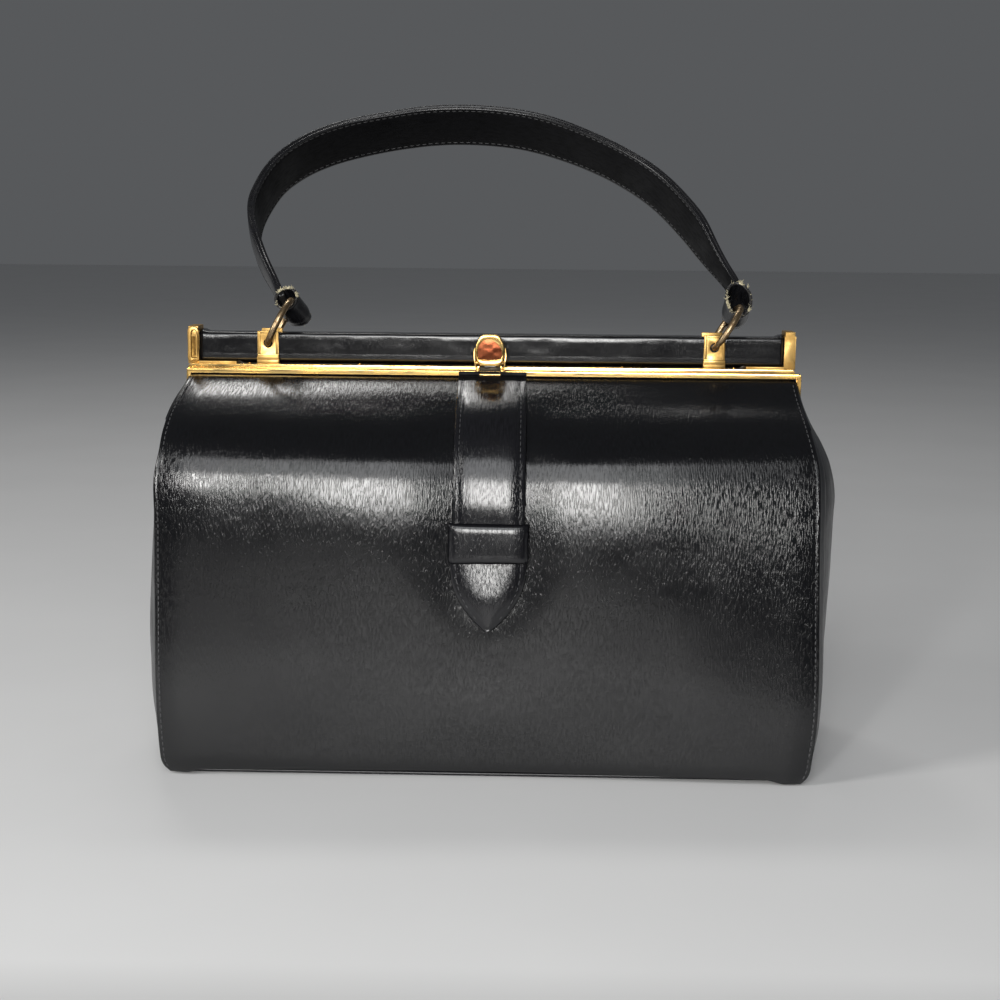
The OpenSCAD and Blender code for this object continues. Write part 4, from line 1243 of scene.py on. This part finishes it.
def round_closed(pts, sub=8):
    """Closed smooth curve through pts."""
    out, n = [], len(pts)
    for i in range(n):
        a, b, c, d = pts[i - 1], pts[i], pts[(i + 1) % n], pts[(i + 2) % n]
        for k in range(sub):
            t = k / sub
            out.append(tuple(0.5 * (2 * q + (r - p) * t + (2 * p - 5 * q + 4 * r - w) * t * t + (-p + 3 * q - 3 * r + w) * t ** 3)
                             for p, q, r, w in zip(a, b, c, d)))
    return out


def shrink(ring, d):
    """Ring of (x, z) moved inward by d."""
    out, n = [], len(ring)
    for i in range(n):
        ax, az = ring[i - 1]
        bx, bz = ring[(i + 1) % n]
        tx, tz = bx - ax, bz - az
        L = math.hypot(tx, tz) or 1.0
        out.append((ring[i][0] - tz / L * d, ring[i][1] + tx / L * d))
    return out


class Build:
    """Several closed lofts gathered in one mesh."""

    def __init__(self):
        self.v, self.f, self.m = [], [], []

    def loft(self, rings, ids=0, cap=None):
        n, b = len(rings[0]), len(self.v)
        for r in rings:
            self.v += [tuple(q) for q in r]
        for i in range(len(rings) - 1):
            for k in range(n):
                self.f.append([b + i * n + k, b + i * n + (k + 1) % n, b + (i + 1) * n + (k + 1) % n, b + (i + 1) * n + k])
                self.m.append(ids if isinstance(ids, int) else ids[i])
        self.f.append([b + k for k in range(n)][::-1])
        self.m.append(ids if isinstance(ids, int) else ids[0])
        e = b + (len(rings) - 1) * n
        self.f.append([e + k for k in range(n)])
        self.m.append(cap if cap is not None else (ids if isinstance(ids, int) else ids[-1]))

    def block(self, x0, x1, y0, y1, z0, z1, r=0.25, mid=0):
        """Block with bevelled edges."""
        rings = []
        for x, e in ((x0, r), (x0 + 0.3 * r, 0.3 * r), (x0 + r, 0), (x1 - r, 0), (x1 - 0.3 * r, 0.3 * r), (x1, r)):
            sec = []
            for (cy, cz, a0) in ((y0 + r, z0 + r, math.pi), (y1 - r, z0 + r, 1.5 * math.pi), (y1 - r, z1 - r, 0.0), (y0 + r, z1 - r, 0.5 * math.pi)):
                for k in range(4):
                    a = a0 + k * math.pi / 6
                    sec.append((x, cy + (r - e) * math.cos(a), cz + (r - e) * math.sin(a)))
            rings.append(sec)
        self.loft(rings, mid)

    def done(self, name, mats, body, slot, *nodes):
        ob = mesh_obj(name, self.v, self.f, mats, None, self.m)
        bm = bmesh.new()
        bm.from_mesh(ob.data)
        bmesh.ops.recalc_face_normals(bm, faces=bm.faces)
        bm.to_mesh(ob.data)
        bm.free()
        ob.data.set_sharp_from_angle(angle=math.radians(48))
        if nodes:
            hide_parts(*nodes)
        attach(ob, body)
        return ob


def softened(node, name, body, width=0.3, mat=None, segs=3, angle=32, edit=None, extra=None, mats=None):
    """The constructed shape with its edges rounded; edit moves single corners first, extra adds closed shapes to it."""
    me = NODES[node].data.copy()
    me.name = name
    bm = bmesh.new()
    bm.from_mesh(me)
    bmesh.ops.remove_doubles(bm, verts=bm.verts, dist=2e-6)
    bmesh.ops.dissolve_limit(bm, angle_limit=math.radians(1.0), verts=bm.verts, edges=bm.edges)
    if edit:
        for v in bm.verts:
            v.co = Vector(edit(v.co * 1000.0)) / 1000.0
    bm.to_mesh(me)
    bm.free()
    me.materials.clear()
    me.materials.append(mat or M_GOLD)
    ob = link(bpy.data.objects.new(name, me))
    mod = ob.modifiers.new("edge", "BEVEL")
    mod.width = width * MM
    mod.segments = segs
    mod.limit_method = "ANGLE"
    mod.angle_limit = math.radians(angle)
    mod.use_clamp_overlap = True
    mod.harden_normals = extra is None
    for p in me.polygons:
        p.use_smooth = True
    apply_mods(ob)
    if extra:
        for m in (mats or []):
            ob.data.materials.append(m)
        me = ob.data
        bm = bmesh.new()
        bm.from_mesh(me)
        vs = [bm.verts.new(Vector(q) * MM) for q in extra.v]
        new = []
        for f, m in zip(extra.f, extra.m):
            fc = bm.faces.new([vs[k] for k in f])
            fc.smooth = True
            fc.material_index = m
            new.append(fc)
        bmesh.ops.recalc_face_normals(bm, faces=new)
        bm.to_mesh(me)
        bm.free()
        me.set_sharp_from_angle(angle=math.radians(36))
    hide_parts(node)
    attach(ob, body)
    return ob


def rail_edit(v):
    """Lower the rail's top edge a little and let the left arm lean inwards to the top."""
    x, y, z = v
    if z > 180.4 and abs(x) > 9.2:
        z -= 0.6
    if x < -100:
        x += 2.7 * max(0.0, min(1.0, (z - 128.0) / 52.0))
    return (x, y, z)


softened("front_frame", "front_half_frame", "front_frame", 0.55, edit=rail_edit)
softened("rear_frame", "rear_half_frame", "bag", 0.3)

# end caps: the left one has a window stamped in its front; the window's walls and floor take a darker gold as painted
# shade
cap_out = round_closed([(-142.25, 183.4), (-142.3, 190.0), (-142.3, 196.6), (-141.9, 198.4), (-140.6, 199.25), (-138.6, 199.25), (-137.5, 198.7),
                        (-137.15, 197.4), (-137.1, 190.0), (-137.1, 183.4), (-139.5, 183.3)], 6)
cap_win = round_closed([(-140.7, 185.0), (-140.75, 190.0), (-140.7, 195.4), (-140.1, 197.2), (-139.1, 197.7), (-138.2, 197.0), (-137.8, 195.2),
                        (-137.75, 190.0), (-137.8, 185.0), (-139.2, 184.6)], 6)
NR = 96
co, cw = polar(cap_out, NR, (-139.4, 190.8)), polar(cap_win, NR, (-139.4, 190.8))
bl = Build()
bl.loft([[(x, 1.6, z) for x, z in co], [(x, 1.1, z) for x, z in co], [(x, 0.85, z) for x, z in shrink(co, 0.12)],
         [(x, 0.72, z) for x, z in shrink(co, 0.32)], [(x, 0.76, z) for x, z in shrink(cw, -0.15)], [(x, 0.9, z) for x, z in shrink(cw, 0.0)],
         [(x, 1.35, z) for x, z in shrink(cw, 0.1)], [(x, 1.42, z) for x, z in shrink(cw, 0.3)]], [0, 0, 0, 0, 0, 0, 1], 1)
bl.block(-138.15, -137.95, 0.95, 1.5, 185.6, 195.6, 0.08, 0)
softened("left_end_cap", "left_bar_end_cap", "bag", 0.45, mat=M_SATIN, extra=bl, mats=[M_SHADED_RECESS_GOLD])
softened("right_end_cap", "right_bar_end_cap", "bag", 0.8, mat=M_SATIN)

# brackets: stamped borders on the front cheek and a folded foot
for sx, nm in ((-1, "left"), (1, "right")):
    bl = Build()
    cx = sx * 104.5
    for b in (-1, 1):
        bl.block(cx + b * 4.1 - 0.62, cx + b * 4.1 + 0.62, 1.02, 1.6, 186.5, 197.35, 0.2)
    bl.block(cx - 3.4, cx + 3.4, 1.14, 1.6, 196.3, 197.3, 0.16)
    bl.block(cx - 5.1, cx + 5.15, 0.62, 1.7, 184.25, 186.1, 0.26)
    bl.block(cx - 5.15, cx + 5.2, 0.35, 1.7, 182.35, 184.15, 0.3)
    softened(f"{nm}_handle_bracket", f"{nm}_ring_bracket", "bag", 0.28, mat=M_SATIN, extra=bl)

# clasp button: a barrel shaped rim round an arched recess
CB = 190.45
b_out = round_closed([(0, 7.35), (2.6, 7.3), (4.3, 6.75), (5.7, 4.6), (6.6, 2.2), (6.85, -0.4), (6.6, -3.0), (5.8, -5.3), (4.7, -6.85), (3.0, -7.3),
                      (0, -7.35), (-3.0, -7.3), (-4.7, -6.85), (-5.8, -5.3), (-6.6, -3.0), (-6.85, -0.4), (-6.6, 2.2), (-5.7, 4.6),
                      (-4.3, 6.75), (-2.6, 7.3)], 6)
b_win = round_closed([(0, 5.45), (2.6, 4.9), (4.5, 3.3), (5.55, 0.9), (5.7, -1.6), (5.2, -3.6), (4.3, -4.35), (0, -4.6), (-4.3, -4.35),
                      (-5.2, -3.6), (-5.7, -1.6), (-5.55, 0.9), (-4.5, 3.3), (-2.6, 4.9)], 6)
bo, bw = polar(b_out, NR, (0, 0)), polar(b_win, NR, (0, 0))


def at_cb(ring, y):
    return [(x, y(x, z) if callable(y) else y, CB + z) for x, z in ring]


mid = [(lerp(a[0], b[0], 0.5), lerp(a[1], b[1], 0.5)) for a, b in zip(shrink(bo, 0.4), shrink(bw, -0.3))]
bl = Build()
bl.loft([at_cb(shrink(bo, 0.5), -7.45), at_cb(shrink(bo, 0.12), -7.62), at_cb(bo, -8.0), at_cb(bo, -9.3), at_cb(shrink(bo, 0.1), -9.7),
         at_cb(shrink(bo, 0.32), -9.98), at_cb(shrink(bo, 0.55), -10.08), at_cb(mid, -10.12), at_cb(shrink(bw, -0.3), -10.05),
         at_cb(shrink(bw, -0.1), -9.9), at_cb(bw, -9.6), at_cb(shrink(bw, 0.05), -9.25), at_cb(shrink(bw, 0.3), -9.2)])
# the lever's foot and the knuckle round its pin
bl.block(-4.2, 4.2, -8.0, -6.2, 183.6, 186.4, 0.5)
kn = []
for x, e in ((-4.5, 0.3), (-4.3, 0.0), (4.3, 0.0), (4.5, 0.3)):
    kn.append([(x, -6.4 + (1.45 - e) * math.cos(a * math.pi / 12), 184.5 + (1.45 - e) * math.sin(a * math.pi / 12)) for a in range(24)])
bl.loft(kn)
bl.done("clasp_button", [M_GOLD], "clasp_lever", "gold_metal", "clasp_lever")
# its inlay: a shallow polished dome with a pressed facet
bl = Build()
rings = [at_cb(shrink(bw, 0.12), -9.0)]
for k in range(9):
    f = 1 - k / 9.2

    def dome(x, z, f=f):
        return -9.26 - 0.15 * (1 - f * f) + 0.018 * z + 0.012 * x - 0.05 * nz(x * 0.45, z * 0.45, 2.0) * (1 - f * f)
    rings.append([(x * f, dome(x * f, z * f), CB + z * f) for x, z in shrink(bw, 0.12)])
bl.loft(rings)
bl.done("clasp_face_inlay", [M_COPPER], "clasp_lever", "copper_enamel", "clasp_face")

# the clasp's ears, feet and the small serrated strip under it
bl = Build()
for b in (-1, 1):
    path = [(6.95, 191.2, 0.3), (7.2, 190.2, 0.7), (7.3, 188.4, 1.0), (7.2, 186.4, 1.3), (6.95, 184.6, 1.4), (6.6, 182.9, 1.3), (6.35, 181.5, 1.2), (6.3, 180.6, 1.1)]
    rings = []
    for i, (x, z, w) in enumerate(path):
        x0, z0, _ = path[max(i - 1, 0)]
        x1, z1, _ = path[min(i + 1, len(path) - 1)]
        L = math.hypot(x1 - x0, z1 - z0)
        nx, nzz = -(z1 - z0) / L, (x1 - x0) / L
        ring = []
        for k in range(16):
            a = 2 * math.pi * k / 16
            ca, sa = math.cos(a), math.sin(a)
            o = 0.36 * (abs(ca) ** 0.5) * (1 if ca > 0 else -1)
            y = -7.0 + w * (abs(sa) ** 0.6) * (1 if sa > 0 else -1)
            ring.append((b * (x + nx * o), y, z + nzz * o))
        rings.append(ring)
    bl.loft(rings)
    bl.block(b * 5.25 - 0.5, b * 5.25 + 0.5, -7.0, -4.5, 180.35, 183.0, 0.25)
    bl.block(b * 6.1 - 0.75, b * 6.1 + 0.75, -7.6, -4.3, 180.3, 181.1, 0.25)
# this block between the feet takes the near-black metal: painted shade where the hinge lies in shadow
bl.block(-4.9, 4.9, -6.2, -4.3, 180.4, 182.5, 0.3, 1)
ser = []
for k in range(61):
    x = lerp(-5.0, 5.0, k / 60)
    e = 0.10 * (0.5 + 0.5 * math.cos(k * math.pi / 2)) + (0.2 if k in (0, 60) else 0.0)
    ser.append([(x, y, z) for y, z in ((-5.4, 178.25 + e), (-6.15 + e, 178.2 + e), (-6.3 + e, 178.5), (-6.3 + e, 179.0), (-6.15 + e, 179.3 - e), (-5.4, 179.3 - e))])
bl.loft(ser)
bl.done("clasp_ears", [M_GOLD, M_HINGE_GAP_SHADE], "front_frame", "gold_metal", "clasp_base")
softened("catch_plate", "bar_catch_plate", "bag", 0.2, edit=lambda v: (v.x * 0.6, v.y, min(v.z, 197.0)))


def swollen(node, name, body, grow):
    """Hand bent wire: the constructed ring, a little thicker and not quite even."""
    me = NODES[node].data.copy()
    me.name = name
    bm = bmesh.new()
    bm.from_mesh(me)
    bmesh.ops.remove_doubles(bm, verts=bm.verts, dist=2e-6)
    bmesh.ops.recalc_face_normals(bm, faces=bm.faces)
    bm.normal_update()
    nn = [v.normal.copy() for v in bm.verts]
    for v, n in zip(bm.verts, nn):
        c = v.co * 1000.0
        # the ends that turn into the bracket keep their size
        k = smooth01((c.z - 192.6) / 2.5)
        v.co = v.co + n * MM * (grow * k + 0.05 * k * nz(c.x * 0.6, c.y * 0.6, c.z * 0.6))
    bm.to_mesh(me)
    bm.free()
    me.materials.clear()
    me.materials.append(M_BRONZE)
    for q in me.polygons:
        q.use_smooth = True
    me.set_sharp_from_angle(angle=math.radians(40))
    ob = link(bpy.data.objects.new(name, me))
    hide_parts(node)
    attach(ob, body)
    return ob


swollen("left_ring", "left_wire_ring", "left_ring", 0.22)
swollen("right_ring", "right_wire_ring", "right_ring", 0.22)

# the clasp's pin, its ends riveted flush with the ears
pin_x = [v.co.x * 1000.0 for v in NODES["clasp_pin"].data.vertices]
pin_mid = (min(pin_x) + max(pin_x)) / 2
softened("clasp_pin", "clasp_hinge_pin", "front_frame", 0.1, edit=lambda v: (pin_mid + (v.x - pin_mid) * 0.84, v.y, v.z))

SHOWN = {
    "hinge_pins": M_GOLD, "bar_rivets": M_GOLD, "clasp_rivets": M_GOLD, "clasp_spring": M_STEEL,
}
for n, m in SHOWN.items():
    o = NODES[n]
    if len(o.material_slots) == 0:
        o.data.materials.append(m)
    for s in o.material_slots:
        s.material = m

# ------------------------------------------------------------------ stage, light and camera
def plain(name, c, rough=0.6):
    """A pale table top whose colour is painted darker, down to dark grey, well in front of the object: painted shade.
    """
    m, nt, b = nodes_of(name)
    n = add(nt, "ShaderNodeTexNoise", Scale=8.0, Detail=4.0)
    nt.links.new(coords(nt, "Object"), n.inputs["Vector"])
    r = ramp(nt, n.outputs["Fac"], [(0.3, (c * 0.97, c * 0.97, c * 0.97, 1)), (0.7, (c, c, c, 1))])
    sp = add(nt, "ShaderNodeSeparateXYZ")
    nt.links.new(coords(nt, "Object"), sp.inputs["Vector"])
    mr = add(nt, "ShaderNodeMapRange")
    mr.inputs["From Min"].default_value = -1.0
    mr.inputs["From Max"].default_value = 0.0
    nt.links.new(sp.outputs["Y"], mr.inputs["Value"])
    # painted shade: the colour drops from full at y = -0.24 m to 0.05 of it at y = -0.5 m and beyond
    f = ramp(nt, mr.outputs["Result"], [(0.50, grey(0.05)), (0.65, grey(0.20)), (0.76, grey(1.0))])
    mx = add(nt, "ShaderNodeMix", data_type="RGBA", blend_type="MULTIPLY")
    mx.inputs[0].default_value = 1.0
    nt.links.new(r.outputs["Color"], mx.inputs[6])
    nt.links.new(f.outputs["Color"], mx.inputs[7])
    nt.links.new(mx.outputs[2], b.inputs["Base Color"])
    b.inputs["Roughness"].default_value = rough
    return m


me = bpy.data.meshes.new("floor")
S = 6.0
me.from_pydata([(-S, -S, 0), (S, -S, 0), (S, S, 0), (-S, S, 0)], [], [[0, 1, 2, 3]])
me.materials.append(plain("pale_floor_painted_falloff", 0.78, 0.5))
floor = link(bpy.data.objects.new("floor", me))

world = bpy.data.worlds.new("studio")
bpy.context.scene.world = world
world.use_nodes = True
bg = world.node_tree.nodes["Background"]
bg.inputs["Color"].default_value = (0.80, 0.83, 0.87, 1)
bg.inputs["Strength"].default_value = 0.12


def area(name, loc, target, size, power, color=(1, 1, 1), shape="RECTANGLE", size_y=None):
    ld = bpy.data.lights.new(name, "AREA")
    ld.shape = shape
    ld.size = size
    if size_y:
        ld.size_y = size_y
    ld.energy = power
    ld.color = color
    o = link(bpy.data.objects.new(name, ld))
    o.location = loc
    d = Vector(target) - Vector(loc)
    o.rotation_euler = d.to_track_quat("-Z", "Y").to_euler()
    return o


# a soft light overhead and a little behind, and a wide window in front and above with a brighter lower part
area("overhead", (-0.43, 0.86, 1.62), (0, 0, 0.16), 0.28, 2.6, (1.0, 0.985, 0.96), size_y=0.26)
area("overhead_mid", (-0.07, 0.86, 1.62), (0, 0, 0.16), 0.42, 1.6, (1.0, 0.985, 0.96), size_y=0.24)
area("overhead_right", (0.40, 0.86, 1.62), (0, 0, 0.16), 0.12, 0.5, (1.0, 0.985, 0.96), size_y=0.24)
area("window", (-0.15, -1.62, 1.18), (0, 0, 0.14), 1.25, 13.0, (0.97, 0.985, 1.0), size_y=0.95)
area("window_core", (-0.02, -1.50, 0.44), (0.0, 0, 0.13), 0.46, 12.5, (1.0, 0.99, 0.97), size_y=0.44)
area("window_left", (-0.52, -1.50, 0.48), (-0.1, 0, 0.13), 0.10, 4.6, (1.0, 0.99, 0.97), size_y=0.36)
area("side_glow", (-1.35, -0.75, 0.75), (-0.1, 0, 0.13), 0.35, 11.0, (1.0, 0.99, 0.97), size_y=0.9)

cam = bpy.data.cameras.new("photo_camera")
co = link(bpy.data.objects.new("photo_camera", cam))
cam.sensor_width = 36.0
cam.sensor_fit = "HORIZONTAL"
cam.lens = 57.6
cam.clip_start = 0.01
cam.clip_end = 50
yaw, pitch, roll = math.radians(-1.206), math.radians(10.39), math.radians(0.52)
fw = Vector((math.sin(yaw) * math.cos(pitch), math.cos(yaw) * math.cos(pitch), -math.sin(pitch)))
r = Vector((math.cos(yaw), -math.sin(yaw), 0))
u = r.cross(fw)
r2 = r * math.cos(roll) + u * math.sin(roll)
u2 = -r * math.sin(roll) + u * math.cos(roll)
co.matrix_world = Matrix((
    (r2.x, u2.x, -fw.x, 0.0208),
    (r2.y, u2.y, -fw.y, -0.7477),
    (r2.z, u2.z, -fw.z, 0.2558),
    (0, 0, 0, 1)))
bpy.context.scene.camera = co
bpy.context.scene.view_settings.view_transform = "Standard"
bpy.context.scene.view_settings.look = "None"
